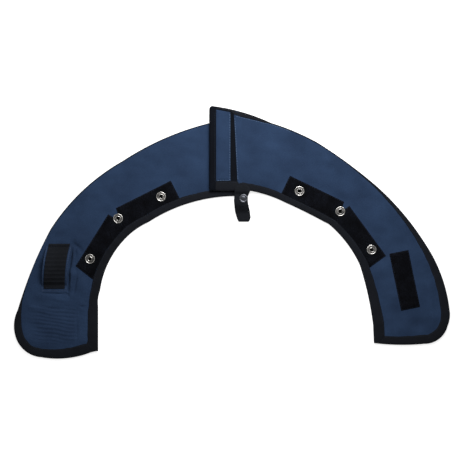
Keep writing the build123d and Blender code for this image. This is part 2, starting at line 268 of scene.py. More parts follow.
def divided(loop, longest=12 * MM, step=4 * MM):
    """A closed outline with its long straight sides divided, so that they stay straight."""
    points = []
    for a, b in zip(loop, np.roll(loop, -1, 0)):
        length = np.linalg.norm(b - a)
        count = max(1, round(length / step)) if length > longest else 1
        points += [a + (b - a) * i / count for i in range(count)]
    return np.array(points)


def smooth_loop(loop, spacing, sharpest=28):
    """A closed outline resampled evenly, smooth between corners sharper than this many degrees."""
    loop = divided(loop)
    arrive = loop - np.roll(loop, 1, 0)
    leave = np.roll(loop, -1, 0) - loop
    turn = np.arctan2(arrive[:, 0] * leave[:, 1] - arrive[:, 1] * leave[:, 0], (arrive * leave).sum(1))
    corners = np.flatnonzero(np.abs(np.degrees(turn)) > sharpest)
    if len(corners) == 0:
        corners = np.array([0])
    pieces = []
    for a, b in zip(corners, np.r_[corners[1:], corners[0] + len(loop)]):
        run = loop[np.arange(a, b + 1) % len(loop)]
        pieces.append(smooth_run(run, spacing)[:-1])
    return np.vstack(pieces)


def moved_in(loop, amount):
    """A closed anticlockwise outline moved inwards by a small amount."""
    along = np.roll(loop, -1, 0) - np.roll(loop, 1, 0)
    along /= np.linalg.norm(along, axis=1)[:, None]
    return loop + amount * np.stack([-along[:, 1], along[:, 0]], 1)


# ---------------------------------------------------------------- materials

def tone(display):
    """A colour given in 0-255 display values, as the shader wants it."""
    linear = [((c / 255 + 0.055) / 1.055) ** 2.4 for c in display]
    return (*linear, 1)


def add_node(tree, kind, inputs=(), **settings):
    """A node with its settings, and its inputs given as name or number to a link or a value."""
    made = tree.nodes.new(kind)
    for key, value in settings.items():
        setattr(made, key, value)
    for key, value in dict(inputs).items():
        if isinstance(value, bpy.types.NodeSocket):
            tree.links.new(value, made.inputs[key])
        else:
            made.inputs[key].default_value = value
    return made


def sums(tree, operation, *values):
    """One maths node's result."""
    return add_node(tree, "ShaderNodeMath", dict(enumerate(values)), operation=operation).outputs[0]


def noise(tree, where, scale, detail, output="Fac"):
    inputs = {"Vector": where, "Scale": scale, "Detail": detail}
    return add_node(tree, "ShaderNodeTexNoise", inputs).outputs[output]


def mixed(tree, amount, first, second):
    """A share of the way from one value to another."""
    return add_node(tree, "ShaderNodeMix", {0: amount, 2: first, 3: second}, data_type="FLOAT").outputs[0]


def coloured(tree, shader, amount, dark, light):
    """Gives the shader a colour between two display colours or shader colours."""
    ends = {0: amount, 6: dark, 7: light}
    blend = add_node(tree, "ShaderNodeMix", ends, data_type="RGBA")
    tree.links.new(blend.outputs[2], shader.inputs["Base Color"])


def spread(tree, value, low, high, bottom=0.0, top=1.0):
    """A value between low and high stretched to between bottom and top."""
    inputs = {"Value": value, "From Min": low, "From Max": high, "To Min": bottom, "To Max": top}
    return add_node(tree, "ShaderNodeMapRange", inputs).outputs["Result"]


def start_material(name, **finish):
    """A new material, with uniform values set on its shader's own sockets."""
    material = bpy.data.materials.new(name)
    material.use_nodes = True
    tree = material.node_tree
    shader = tree.nodes["Principled BSDF"]
    for key, value in finish.items():
        shader.inputs[key.replace("_", " ")].default_value = value
    return material, tree, shader


def bumped(tree, shader, height, strength, distance):
    inputs = {"Height": height, "Strength": strength, "Distance": distance}
    bump = add_node(tree, "ShaderNodeBump", inputs)
    tree.links.new(bump.outputs["Normal"], shader.inputs["Normal"])


def woven(name, dark, light, yarns_mm, ribbed=0.0, roughness=0.8, sheen=0.0, gloss=0.1):
    """Woven cloth of two tones: yarns over and under, ribs across, and patchy fading.

    The tones are display colours, and yarns_mm is (warp pitch, weft pitch, relief).
    """
    warp, weft, relief = (size * MM for size in yarns_mm)
    material, tree, shader = start_material(
        name, Roughness=roughness, Sheen_Weight=sheen, Sheen_Roughness=0.45, Specular_IOR_Level=gloss
    )
    cloth = add_node(tree, "ShaderNodeUVMap", uv_map="Weave").outputs["UV"]
    wobble = {0: noise(tree, cloth, 90.0, 1.0, "Color"), 1: (0.5 * warp,) * 3, 2: cloth}
    shift = add_node(tree, "ShaderNodeVectorMath", wobble, operation="MULTIPLY_ADD").outputs[0]
    along = add_node(tree, "ShaderNodeSeparateXYZ", {"Vector": shift}).outputs
    across_yarn = sums(tree, "SINE", sums(tree, "MULTIPLY", along["X"], math.pi / warp))
    along_yarn = sums(tree, "SINE", sums(tree, "MULTIPLY", along["Y"], math.pi / weft))
    over = spread(tree, sums(tree, "MULTIPLY", across_yarn, along_yarn), -0.35, 0.35)
    round_warp = sums(tree, "ABSOLUTE", across_yarn)
    round_weft = sums(tree, "ABSOLUTE", along_yarn)
    yarns = mixed(tree, ribbed, mixed(tree, over, round_warp, round_weft), round_warp)
    fade = spread(tree, noise(tree, cloth, 28.0, 4.0), 0.3, 0.7)
    fleck = spread(tree, noise(tree, cloth, 700.0, 3.0), 0.3, 0.75)
    tint = sums(tree, "ADD", sums(tree, "MULTIPLY", fade, 0.35), sums(tree, "MULTIPLY", fleck, 0.25))
    coloured(tree, shader, sums(tree, "MULTIPLY_ADD", yarns, 0.4, tint), tone(dark), tone(light))
    bumped(tree, shader, yarns, 0.55, relief)
    return material


def piled(name, dark, light, pitch, relief, roughness):
    """Loop or hook pile: a crowd of small lumps with pale lint here and there."""
    material, tree, shader = start_material(name, Roughness=roughness, Specular_IOR_Level=0.05)
    cloth = add_node(tree, "ShaderNodeUVMap", uv_map="Weave").outputs["UV"]
    cells = add_node(tree, "ShaderNodeTexVoronoi", {"Vector": cloth, "Scale": 1 / pitch, "Randomness": 0.8})
    lumps = spread(tree, cells.outputs["Distance"], 0.0, 0.8, 1.0, 0.0)
    fuzz = noise(tree, cloth, 2600.0, 3.0)
    patches = spread(tree, noise(tree, cloth, 60.0, 3.0), 0.35, 0.75)
    lint = spread(tree, noise(tree, cloth, 420.0, 2.0), 0.64, 0.8, 0.0, 0.6)
    shade = sums(tree, "MULTIPLY", lumps, sums(tree, "ADD", patches, 0.25))
    coloured(tree, shader, sums(tree, "ADD", shade, lint), tone(dark), tone(light))
    bumped(tree, shader, sums(tree, "MULTIPLY_ADD", fuzz, 0.5, lumps), 0.8, relief)
    return material


def worn_metal(name, dark, light, roughness):
    """Plated metal of two grey shader tones: rolling marks, stains and uneven gloss."""
    material, tree, shader = start_material(name, Metallic=1.0)
    place = add_node(tree, "ShaderNodeTexCoord").outputs["Object"]
    stains = spread(tree, noise(tree, place, 240.0, 4.0), 0.35, 0.7)
    marks = noise(tree, place, 1800.0, 2.0)
    coloured(tree, shader, stains, (*dark, 1), (*light, 1))
    gloss = spread(tree, marks, 0.3, 0.7, roughness * 0.8, roughness * 1.3)
    tree.links.new(gloss, shader.inputs["Roughness"])
    bumped(tree, shader, marks, 0.12, 0.05 * MM)
    return material


def cellular(name, dark, light, cell, roughness):
    """Foam or matt plastic: fine open cells and a soft change of tone."""
    material, tree, shader = start_material(name, Roughness=roughness, Specular_IOR_Level=0.3)
    place = add_node(tree, "ShaderNodeTexCoord").outputs["Object"]
    cells = add_node(tree, "ShaderNodeTexVoronoi", {"Vector": place, "Scale": 1 / cell})
    patch = spread(tree, noise(tree, place, 40.0, 3.0), 0.3, 0.7)
    pores = spread(tree, cells.outputs["Distance"], 0.0, 0.7)
    coloured(tree, shader, sums(tree, "MULTIPLY", pores, patch), tone(dark), tone(light))
    bumped(tree, shader, pores, 0.4, cell / 3)
    return material


NAVY = woven("navy_oxford", (16, 28, 48), (41, 60, 88), (0.62, 0.55, 0.12), sheen=0.04)
LINING = woven("grey_lining", (22, 25, 31), (46, 50, 58), (0.4, 0.4, 0.06), sheen=0.04)
TAPE_YARNS = (0.75, 0.35, 0.12)
TAPE_BLACK = woven("black_binding_tape", (5, 6, 9), (20, 23, 30), TAPE_YARNS, 0.8, roughness=0.75)
LAP_TAPE = woven("navy_black_tape", (2, 3, 6), (13, 17, 25), TAPE_YARNS, 0.8, gloss=0.05)
WEBBING = woven("black_ribbed_webbing", (4, 5, 7), (25, 28, 34), (1.3, 0.5, 0.3), 0.85)
THREAD_YARNS = (0.25, 0.2, 0.05)
THREAD = woven("black_thread", (10, 12, 17), (38, 44, 56), THREAD_YARNS, 0.9)
PALE_THREAD = woven("pale_thread", (52, 70, 96), (100, 122, 152), THREAD_YARNS, 0.9)
KEEPER_THREAD = woven("navy_thread", (34, 44, 66), (72, 84, 110), THREAD_YARNS, 0.9)
LOOP = piled("loop_pile_black", (2, 2, 4), (22, 25, 33), 0.8 * MM, 0.5 * MM, 0.95)
HOOK = piled("hook_tape_black", (3, 4, 5), (28, 31, 37), 1.2 * MM, 0.4 * MM, 0.7)
NICKEL = worn_metal("nickel_plate", (0.42, 0.41, 0.39), (0.8, 0.79, 0.76), 0.22)
# Darker nickel for the dish round each stud's boss: painted shade in the hollow.
NICKEL_PAINTED_SHADE = worn_metal("nickel_painted_shade", (0.05, 0.05, 0.05), (0.2, 0.19, 0.18), 0.45)
# Near-black metal lining each stud's hole: painted shadow for the shade inside the socket.
EYE_PAINTED_SHADOW = worn_metal("stud_eye_painted_shadow", (0.002, 0.002, 0.002), (0.012, 0.011, 0.01), 0.9)
GUNMETAL = worn_metal("gunmetal_plate", (0.035, 0.037, 0.043), (0.10, 0.105, 0.12), 0.3)
FOAM = cellular("grey_foam", (60, 62, 66), (110, 112, 116), 0.9 * MM, 0.95)
PLASTIC = cellular("pale_plastic", (150, 152, 150), (196, 198, 194), 3 * MM, 0.45)


# ---------------------------------------------------------------- camera, floor and light

CAMERA_PLACE = (0.6 * MM, -1.2 * MM, 3.0)
LENS = 180
SENSOR = 36
FLOOR_HALF = 6.0
SKY_BAND = {"From Min": 0.25, "From Max": 0.95, "To Min": 0.09, "To Max": 0.4}
LAMPS = [
    ("key", "AREA", {"energy": 4.3, "size": 0.35}, (0.07, 0.34, 0.45), (-0.01, 0.09, 0.0)),
    ("fill", "SUN", {"energy": 0.3, "angle": math.radians(20)}, (-0.9, 0.5, 1.0), (0.0, 0.0, 0.0)),
]


def add_object(name, data):
    """A new object in the scene."""
    made = bpy.data.objects.new(name, data)
    bpy.context.scene.collection.objects.link(made)
    return made


def make_camera():
    """A long lens from high above, so that the view is nearly flat."""
    lens = bpy.data.cameras.new("camera")
    lens.sensor_width = SENSOR
    lens.lens = LENS
    camera = add_object("camera", lens)
    camera.location = CAMERA_PLACE
    bpy.context.scene.camera = camera
    bpy.context.scene.view_settings.view_transform = "Standard"


def make_light():
    """A sky that is brighter overhead, a soft box near the lap and a wide low sun."""
    world = bpy.data.worlds.new("studio")
    world.use_nodes = True
    sky = world.node_tree
    seen = add_node(sky, "ShaderNodeTexCoord").outputs["Generated"]
    up = add_node(sky, "ShaderNodeSeparateXYZ", {0: seen}).outputs["Z"]
    rise = add_node(sky, "ShaderNodeMapRange", {"Value": up, **SKY_BAND}).outputs["Result"]
    sky.links.new(rise, sky.nodes["Background"].inputs["Color"])
    bpy.context.scene.world = world
    for name, kind, settings, place, target in LAMPS:
        light = bpy.data.lights.new(name, kind)
        for key, value in settings.items():
            setattr(light, key, value)
        lamp = add_object(name, light)
        lamp.location = place
        lamp.rotation_euler = (Vector(target) - Vector(place)).to_track_quat("-Z", "Y").to_euler()


def make_floor():
    """A plain pale floor."""
    mesh = bpy.data.meshes.new("floor")
    corners = [(x * FLOOR_HALF, y * FLOOR_HALF, 0) for x, y in ((-1, -1), (1, -1), (1, 1), (-1, 1))]
    mesh.from_pydata(corners, [], [(0, 1, 2, 3)])
    paint = start_material(
        "floor_paint", Base_Color=(0.6, 0.6, 0.6, 1), Emission_Color=(1, 1, 1, 1), Emission_Strength=0.75,
        Roughness=0.9,
    )[0]
    mesh.materials.append(paint)
    add_object("floor", mesh)


make_camera()
make_light()
make_floor()


# ---------------------------------------------------------------- mesh tools

def new_piece(name, points, faces, flat, material, sharp=42):
    """A mesh object with smooth faces, sharp only past an angle, and its cloth coordinates."""
    mesh = bpy.data.meshes.new(name)
    mesh.from_pydata(np.asarray(points).tolist(), [], [list(map(int, f)) for f in faces])
    mesh.update()
    layer = mesh.uv_layers.new(name="Weave")
    corner = np.empty(len(mesh.loops), np.int32)
    mesh.loops.foreach_get("vertex_index", corner)
    layer.data.foreach_set("uv", np.asarray(flat, float)[corner].ravel())
    mesh.polygons.foreach_set("use_smooth", np.ones(len(mesh.polygons), bool))
    mesh.set_sharp_from_angle(angle=math.radians(sharp))
    mesh.materials.append(material)
    piece = add_object(name, mesh)
    return piece


def fasten(piece, body, *nodes):
    """The piece rides on a body, and stands for CAD nodes if any are given."""
    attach(piece, body)
    if nodes:
        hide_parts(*nodes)


def hex_grid(low, high, spacing):
    """Points in offset rows over a rectangle."""
    rows = np.arange(low[1], high[1], spacing * math.sqrt(3) / 2)
    columns = np.arange(low[0], high[0], spacing)
    x, y = np.meshgrid(columns, rows)
    x[1::2] += spacing / 2
    return np.stack([x.ravel(), y.ravel()], 1)


MERGE_GAP = 1e-7                # points nearer than this are one
SLIVER = 1e-12                  # triangles this small are left out


def plan_mesh(inside, outside=(), spacing=2.2 * MM, rings=(), line=None, finer=None):
    """Points and triangles that fill the plan inside some outlines and outside others.

    Rings and an open line are kept as edges of the mesh, and it is finer in one rectangle.
    """
    low = np.max([loop.min(0) for loop in inside], 0)
    high = np.min([loop.max(0) for loop in inside], 0)
    grid = hex_grid(low, high, spacing)
    if finer:
        corner, far_corner, fine_spacing = finer
        coarse = np.any((grid < corner) | (grid > far_corner), 1)
        grid = np.vstack([grid[coarse], hex_grid(corner, far_corner, fine_spacing)])
        spacing = 0.8 * spacing
    for loop in inside:
        grid = grid[within(grid, loop)]
    for loop in outside:
        grid = grid[~within(grid, loop)]
    paths = [(loop, True) for loop in (*inside, *outside, *rings)]
    if line is not None:
        paths.append((line, False))
    for path, closed in paths:
        grid = grid[nearest(grid, path, closed)[1] > 0.5 * spacing]
    points = [Vector(p) for p in grid]
    edges = []
    for path, closed in paths:
        first, count = len(points), len(path)
        points += [Vector(p) for p in path]
        edges += [(first + i, first + (i + 1) % count) for i in range(count if closed else count - 1)]
    plan, _, triangles = delaunay_2d_cdt(points, edges, [], 0, MERGE_GAP, False)[:3]
    plan = np.array([tuple(p) for p in plan])
    triangles = np.array(triangles)
    centres = plan[triangles].mean(1)
    kept = [within(centres, loop) for loop in inside] + [~within(centres, loop) for loop in outside]
    triangles = triangles[np.all(kept, 0)]
    a, b, c = (plan[triangles[:, i]] for i in range(3))
    area = (b[:, 0] - a[:, 0]) * (c[:, 1] - a[:, 1]) - (c[:, 0] - a[:, 0]) * (b[:, 1] - a[:, 1])
    triangles[area < 0] = triangles[area < 0][:, ::-1]
    triangles = triangles[np.abs(area) > SLIVER]
    used, triangles = np.unique(triangles, return_inverse=True)
    return plan[used], triangles.reshape(-1, 3)


def border(triangles):
    """Directed edges with a triangle on one side only."""
    edges = np.vstack([triangles[:, [0, 1]], triangles[:, [1, 2]], triangles[:, [2, 0]]])
    there = {tuple(e) for e in edges.tolist()}
    return [(a, b) for a, b in edges.tolist() if (b, a) not in there]


def slab(name, plan, triangles, top, bottom, lift, material, slot):
    """A closed sheet or pad between two heights given for each plan point."""
    raised = lift(plan[:, 0])
    upper = np.column_stack([plan, top + raised])
    lower = np.column_stack([plan, bottom + raised])
    count = len(plan)
    faces = triangles.tolist() + (triangles[:, ::-1] + count).tolist()
    faces += [(b, a, a + count, b + count) for a, b in border(triangles)]
    return new_piece(name, np.vstack([upper, lower]), faces, np.vstack([plan, plan]), material)


def edge_round(distance, radius):
    """How far a soft edge has dropped, from 1 at the edge to 0 a radius in."""
    t = np.clip(1 - distance / radius, 0, 1)
    return 1 - np.sqrt(1 - np.minimum(t, 0.999) ** 2)


def swell(plan, seed, length, amount):
    """Gentle unevenness: waves of about one length in mixed directions."""
    rng = np.random.default_rng(seed)
    total = np.zeros(len(plan))
    for turn, shift, size in rng.random((7, 3)):
        rate = TAU / (length * (0.7 + 0.8 * size))
        way = np.array([math.cos(turn * TAU), math.sin(turn * TAU)])
        total += np.sin(rate * plan @ way + shift * TAU)
    return amount * total / 3


def crease(plan, start, end, width):
    """1 on a soft line between two points in mm, fading beside it and towards its ends."""
    start = np.array(start) * MM
    along = np.array(end) * MM - start
    t = (plan - start) @ along / (along @ along)
    foot = start + np.clip(t, 0, 1)[:, None] * along
    away = np.linalg.norm(plan - foot, axis=1)
    fade = np.sin(np.pi * np.clip(t, 0.02, 0.98)) ** 0.5
    return fade * np.exp(-((away / (width * MM)) ** 2))


def lathe(name, profile, centres, material, turns=40, shade_ring=None):
    """Solids turned about vertical axes, from a profile of (radius, height) in mm.

    A profile that starts and ends at radius 0 closes at its poles. The last argument is the inner radius,
    outer radius, top height and material of a ring given its own darker material, painted shade in a hollow.
    """
    angles = np.arange(turns) * TAU / turns
    ring = np.stack([np.cos(angles), np.sin(angles)], 1)
    points, flat, faces, shade_faces = [], [], [], []
    for centre in centres:
        rows = []
        for radius, height in np.array(profile) * MM:
            around = ring if radius else ring[:1]
            rows.append(np.resize(len(points) + np.arange(len(around)), turns))
            points += [(*(np.array(centre) + radius * way), height) for way in around]
            flat += [(a * radius, height) for a in angles[: len(around)]]
        for i, low_row in enumerate(rows):
            j = (i + 1) % len(rows)
            middle, level = (np.array(profile[i]) + np.array(profile[j])) / 2
            inset = bool(shade_ring) and shade_ring[0] < middle < shade_ring[1] and level < shade_ring[2]
            for k in range(turns):
                m = (k + 1) % turns
                corners = [low_row[k], low_row[m], rows[j][m], rows[j][k]]
                corners = [c for n, c in enumerate(corners) if c != corners[n - 1]]
                if len(corners) > 2:
                    faces.append(corners)
                    shade_faces.append(int(inset))
    piece = new_piece(name, points, faces, flat, material, sharp=35)
    if shade_ring:
        piece.data.materials.append(shade_ring[3])
        piece.data.polygons.foreach_set("material_index", shade_faces)
    return piece


def rounded_profile(points, radius, steps=4):
    """A closed profile in mm with its corners rounded, by at most a share of their sides.

    Corners on the axis stay.
    """
    points = np.array(points, float)
    rounded = []
    for before, corner, after in zip(np.roll(points, 1, 0), points, np.roll(points, -1, 0)):
        if corner[0] == 0:
            rounded.append(corner)
            continue
        back = before - corner
        on = after - corner
        cut = min(radius, 0.45 * np.linalg.norm(back), 0.45 * np.linalg.norm(on))
        a = corner + cut * back / np.linalg.norm(back)
        b = corner + cut * on / np.linalg.norm(on)
        for t in np.linspace(0, 1, steps):
            rounded.append((1 - t) ** 2 * a + 2 * t * (1 - t) * corner + t * t * b)
    return np.array(rounded)


# ---------------------------------------------------------------- the two halves in plan

STRIP_WIDE = 28 * MM
STUD_WIDE = 13 * MM
SHANK_HOLE = 1.7 * MM
TURNED_EDGE = np.array([5.0, 100.0]) * MM       # a point on the turned edge beside the lap
TURNED_WAY = np.array([0.9987, 0.05])           # across it, away from the lap
OUTLINE_STEPS = (1.2 * MM, 2.2 * MM, 2.2 * MM)

# The face cloth's relief. The crown's two heights and the ripples' pitch are in mm, and the loose waves
# are (seed, length, height).
CROWN_FLAT, CROWN, CROWN_REACH = 0.04, 1.2, 6 * MM
LOOSE_WAVES = ((11, 46 * MM, 0.7 * MM), (12, 17 * MM, 0.24 * MM))
HELD_REACH = 12 * MM
FOAM_SINK = 1.7 * MM
PUCKER, PUCKER_REACH, PUCKER_PITCH = 0.16 * MM, 5 * MM, 6.4 * MM
DIMPLE, DIMPLE_REACH = 0.35 * MM, 7 * MM
LOWEST = 0.4 * MM
CREASE_GAIN = 1.5
RIPPLE, RIPPLE_PITCH, RIPPLE_LEAN = 0.34 * MM, 4.8, 0.14
LINING_SAG, LINING_REACH = 0.55 * MM, 8 * MM
STRIP_CALM = 13 * MM                            # how far the strips' stitching calms the cloth
LAP_CALM = 16 * MM                              # and the lap's turned edge
TONGUE_CALM, TONGUE_FREE = 28 * MM, 44 * MM     # the left cloth lies flat under the lap, up to here


def half_outlines(tapes, foams, lift):
    """A half's outer outline, its open face's outline and its open under side's outline."""
    panels = [plan_loops(name, 1, -1, 1, lift)[0] for name in foams]
    outer, face, under = [], [], []
    for name in tapes:
        inner_run, outer_run = split_runs(plan_loops(name, 1, FACE + TAPE / 2, 1, lift)[0], panels)
        face.append(inner_run)
        outer.append(outer_run)
        under.append(split_runs(plan_loops(name, -1, -1, TAPE / 2, lift)[0], panels)[0])
    return [smooth_loop(chained(runs), step) for runs, step in zip((outer, face, under), OUTLINE_STEPS)]


def stud_places(node):
    """Centres in plan of the studs in a node: its vertices fall in groups a stud wide."""
    points = corner_points(node)[:, :2]
    places = []
    while len(points):
        near = np.linalg.norm(points - points[0], axis=1) < STUD_WIDE
        group = points[near]
        places.append((group.min(0) + group.max(0)) / 2)
        points = points[~near]
    return places


def circle(centre, radius, steps=14):
    turn = np.arange(steps) * TAU / steps
    return np.array(centre) + radius * np.stack([np.cos(turn), np.sin(turn)], 1)


def strip_box(corner, far_corner, side, near_slant, far_slant):
    """A strip's outline from two corners in mm, to the left (1) or right (-1) of that line.

    The slants are how much further each end reaches along the neck than along the outer edge.
    """
    a, b = np.array(corner) * MM, np.array(far_corner) * MM
    along = (b - a) / np.linalg.norm(b - a)
    out = side * STRIP_WIDE * np.array([-along[1], along[0]])
    box = np.array([a, b, b + out + far_slant * MM * along, a + out - near_slant * MM * along])
    return box if side > 0 else box[::-1]


def evenly(loop, spacing=2.2 * MM):
    """A polygon's sides divided evenly."""
    return smooth_loop(loop, spacing, 1)


class Half:
    """One half of the collar: its outlines, its studs and strips, and how it is lifted."""

    def __init__(self, side, tapes, foams, cad_shape, lift, strips):
        self.side = side
        self.lift = lift
        self.outer, self.face, self.under = half_outlines(tapes, foams, cad_shape)
        self.studs = {
            body: stud_places(f"{body}_press_studs") for body in (f"{side}_upper", f"{side}_leg")
        }
        self.strips = {name: strip_box(*corners) for name, corners in strips.items()}
        self.places = [place for group in self.studs.values() for place in group]
        self.shanks = [circle(place, SHANK_HOLE) for place in self.places]

    def calm(self, plan, reach=STRIP_CALM):
        """0 on the strips, where stitching holds the cloth flat, rising to 1 at a reach from them."""
        quiet = np.ones(len(plan))
        for box in self.strips.values():
            quiet *= smooth_step(gap_outside(plan, box), 0, reach)
        if self.side == "right":
            return quiet * smooth_step((plan - TURNED_EDGE) @ TURNED_WAY, 0, LAP_CALM)
        return quiet * smooth_step(-plan[:, 0], TONGUE_CALM, TONGUE_FREE)

    def face_level(self, plan, wrinkled=True):
        """Height of the face cloth, as if the half lay flat, or of the foam's height for it."""
        gap = gap_inside(plan, self.face)
        calm = self.calm(plan)
        crown = (CROWN_FLAT + CROWN * calm) * MM * (1 - np.exp(-gap / CROWN_REACH))
        held = smooth_step(gap, 0, HELD_REACH) * (0.25 + 0.75 * calm)
        if not wrinkled:
            return FACE + crown - held * FOAM_SINK
        loose = sum(swell(plan, *wave) for wave in LOOSE_WAVES)
        creased = smooth_step(gap, 0, HELD_REACH) * self.calm(plan, 4 * MM) * self.folds(plan)
        level = FACE + crown + held * loose + creased + self.pucker(plan, gap)
        for place in self.places:
            away = np.linalg.norm(plan - place, axis=1)
            level -= DIMPLE * np.exp(-((away / DIMPLE_REACH) ** 2))
        return np.maximum(level, FACE - LOWEST)

    def pucker(self, plan, gap):
        """Small gathers where the binding's seam draws the cloth in."""
        edge = nearest(plan, self.face)[0]
        gather = np.sin(TAU * (edge[:, 0] + 1.3 * edge[:, 1]) / PUCKER_PITCH) + swell(plan, 13, 9 * MM, 1)
        return PUCKER * np.exp(-gap / PUCKER_REACH) * smooth_step(gap, 0, 1.5 * MM) * gather

    def under_level(self, plan):
        """Height of the lining's under side, as if the half lay flat."""
        return TAPE - LINING_SAG * (1 - np.exp(-gap_inside(plan, self.under) / LINING_REACH))

    def folds(self, plan):
        """The wrinkles that this half shows."""
        total = np.zeros(len(plan))
        for start, end, width, height in CREASES[self.side]:
            total += CREASE_GAIN * height * MM * crease(plan, start, end, width)
        return total + ripples(plan) if self.side == "left" else total


def ripples(plan):
    """Fine ripples across the left leg's end, inside a soft window in mm."""
    x, y = plan.T / MM
    window = smooth_step(y, -156, -132) * (1 - smooth_step(y, -112, -84)) * smooth_step(x, -268, -240)
    window = window * (0.25 + 0.75 * (1 - smooth_step(x, -206, -198)))
    wander = swell(plan, 21, 26 * MM, 1.1)
    return window * RIPPLE * np.sin(TAU * (y + RIPPLE_LEAN * x) / RIPPLE_PITCH + wander)


# Soft folds in mm: from, to, width, and height if a ridge or depth if a valley. The narrow ones on the left
# lie beside the keeper, which draws the cloth up.
CREASES = {
    "left": [
        ((-152, 64), (-170, 20), 4.0, -0.7),
        ((-176, 70), (-196, 18), 5.0, 0.6),
        ((-120, 112), (-150, 66), 6.0, -0.5),
        ((-84, 128), (-96, 70), 7.0, 0.5),
        ((-66, 120), (-60, 62), 5.0, -0.4),
        ((-204.8, -14), (-210.3, -50), 1.5, -2.2),
        ((-210.3, -50), (-211.4, -78), 1.5, -2.2),
        ((-201.8, -16), (-207, -50), 1.4, 1.5),
        ((-207, -50), (-208.3, -76), 1.4, 1.5),
        ((-203, -12), (-200.1, -54), 1.7, -1.8),
        ((-200.1, -54), (-204.2, -80), 1.7, -1.8),
        ((-202, -16), (-192, -27), 2.2, -1.2),
        ((-196, -96.6), (-186, -97), 1.2, -1.4),
        ((-213, -80), (-210, -84), 1.5, -1.1),
        ((-248, -78.5), (-212, -81), 1.3, -0.8),
        ((-238, -84), (-204, -92), 3.0, 0.6),
        ((-240, -100), (-210, -98), 2.2, -0.5),
        ((-200, -108), (-200, -146), 1.6, -0.9),
        ((-262, -96), (-236, -104), 3.0, 0.5),
        ((-206, 10), (-228, -4), 3.0, 0.4),
    ],
    "right": [
        ((60, 140), (50, 70), 6.0, 0.5),
        ((92, 132), (80, 76), 5.0, -0.5),
        ((128, 112), (120, 72), 6.0, 0.5),
        ((160, 84), (176, 22), 5.0, -0.6),
        ((184, 70), (206, 6), 5.0, 0.5),
        ((212, 10), (232, -20), 3.5, -0.5),
        ((206, -108), (212, -138), 2.6, -0.6),
        ((222, -108), (228, -140), 2.8, 0.5),
        ((238, -104), (244, -140), 2.6, -0.6),
        ((254, -60), (262, -132), 3.2, 0.5),
        ((192, -60), (198, -130), 3.0, 0.4),
    ],
}

# The CAD's tapes in each zone of the two halves.
TAPES = {
    "right": [
        "right_end_binding", "right_upper_neck_binding", "right_leg_neck_binding",
        "right_leg_end_binding", "right_leg_rim_binding", "right_upper_rim_binding",
    ],
    "left_inner": ["left_tongue_binding", "left_upper_neck_binding", "left_upper_rim_binding"],
    "left_outer": ["left_leg_neck_binding", "left_leg_end_binding", "left_leg_rim_binding"],
}

# The neck strips, as strip_box takes them.
LEFT_STRIPS = {
    "left_upper": ((-149.6, 30.1), (-79.0, 65.6), -1, 5, 0),
    "left_lower": ((-159.5, 22.3), (-201.6, -44.5), 1, 0, 3),
}
RIGHT_STRIPS = {
    "right_upper": ((74.6, 72.0), (144.5, 38.3), -1, 0, 4),
    "right_lower": ((151.2, 33.1), (198.4, -31.3), -1, 0, 0),
}
LEFT_TAPES = TAPES["left_inner"] + TAPES["left_outer"]
LEFT_FOAMS = ["left_tongue_foam", "left_upper_foam", "left_leg_foam"]
RIGHT_FOAMS = ["right_upper_foam", "right_leg_foam"]
left = Half("left", LEFT_TAPES, LEFT_FOAMS, no_lift, no_lift, LEFT_STRIPS)
right = Half("right", TAPES["right"], RIGHT_FOAMS, cad_lift, soft_lift, RIGHT_STRIPS)


# ---------------------------------------------------------------- pieces fixed in place, and zones


def bend(piece, joint, *nodes):
    """The piece is baked where it stands, and the CAD nodes that it stands for are hidden."""
    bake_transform(piece)
    if nodes:
        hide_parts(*nodes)


def half_plane(point, way, reach=1.0):
    """A large rectangle in plan on the far side of a line, for cutting."""
    side = np.array([-way[1], way[0]])
    corners = (-side, way - side, way + side, side)
    return np.array([point + reach * corner for corner in corners])


CUT_POINT = np.array([-118.0, 30.0]) * MM        # on the line between the left half's two zones
CUT_WAY = np.array([-0.9, -0.436])


def everything(points):
    return np.ones(len(points), bool)


def before_cut(points):
    return (points - CUT_POINT) @ CUT_WAY < 0


def after_cut(points):
    return ~before_cut(points)


# Each zone crosses one joint: its name, where it is, its joint, and the CAD parts that it stands for.
ZONES = {
    "right": [("right", everything, "right_leg_fold", ("right_upper", "right_leg"))],
    "left": [
        ("left_inner", before_cut, "left_wing_fold", ("left_tongue", "left_upper")),
        ("left_outer", after_cut, "left_leg_fold", ("left_leg",)),
    ],
}
PATCHES = {"left": "closure_hook_patch", "right": "lap_hook_patch"}     # under each half's lining


def box_outline(node):
    low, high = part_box(node)
    return np.array([(low.x, low.y), (high.x, low.y), (high.x, high.y), (low.x, high.y)])


# ---------------------------------------------------------------- padded panels

CLOTH = high_z("left_upper_face") - low_z("left_upper_face")
SEAM = 0.02 * MM
LAYERS_IN = 1.6 * MM            # the layers end this far inside the binding's edge
HELD_UP = 0.06 * MM             # the lining's rise over patches and stud caps
PATCH_REACH = (1 * MM, 6 * MM)
CAP_REACH = (5.6 * MM, 10 * MM)
HEM_RISE, HEM_EDGE, HEM_FADE = 0.75 * MM, (-0.1 * MM, 0.9 * MM), (6 * MM, 9 * MM)


def panel_edge(half):
    """Where the layers end, inside the binding's fold."""
    inner, width = nearest(half.outer, half.face)
    share = np.minimum(LAYERS_IN, 0.7 * width) / np.maximum(width, TINY)
    return half.outer + (inner - half.outer) * share[:, None]


def lining_low(half, plan):
    """The lining's under side, held up where a patch or a stud cap lies on it."""
    level = half.under_level(plan)
    held = TAPE + HELD_UP
    gap = gap_outside(plan, box_outline(PATCHES[half.side]))
    level += (held - level) * (1 - smooth_step(gap, *PATCH_REACH))
    for place in half.places:
        away = np.linalg.norm(plan - place, axis=1)
        level += (held - level) * (1 - smooth_step(away, *CAP_REACH))
    return level


def turned_hem(plan):
    """The extra height of the doubled cloth beside the lap's turned edge."""
    away = (plan - TURNED_EDGE) @ TURNED_WAY
    return HEM_RISE * smooth_step(away, *HEM_EDGE) * (1 - smooth_step(away, *HEM_FADE))


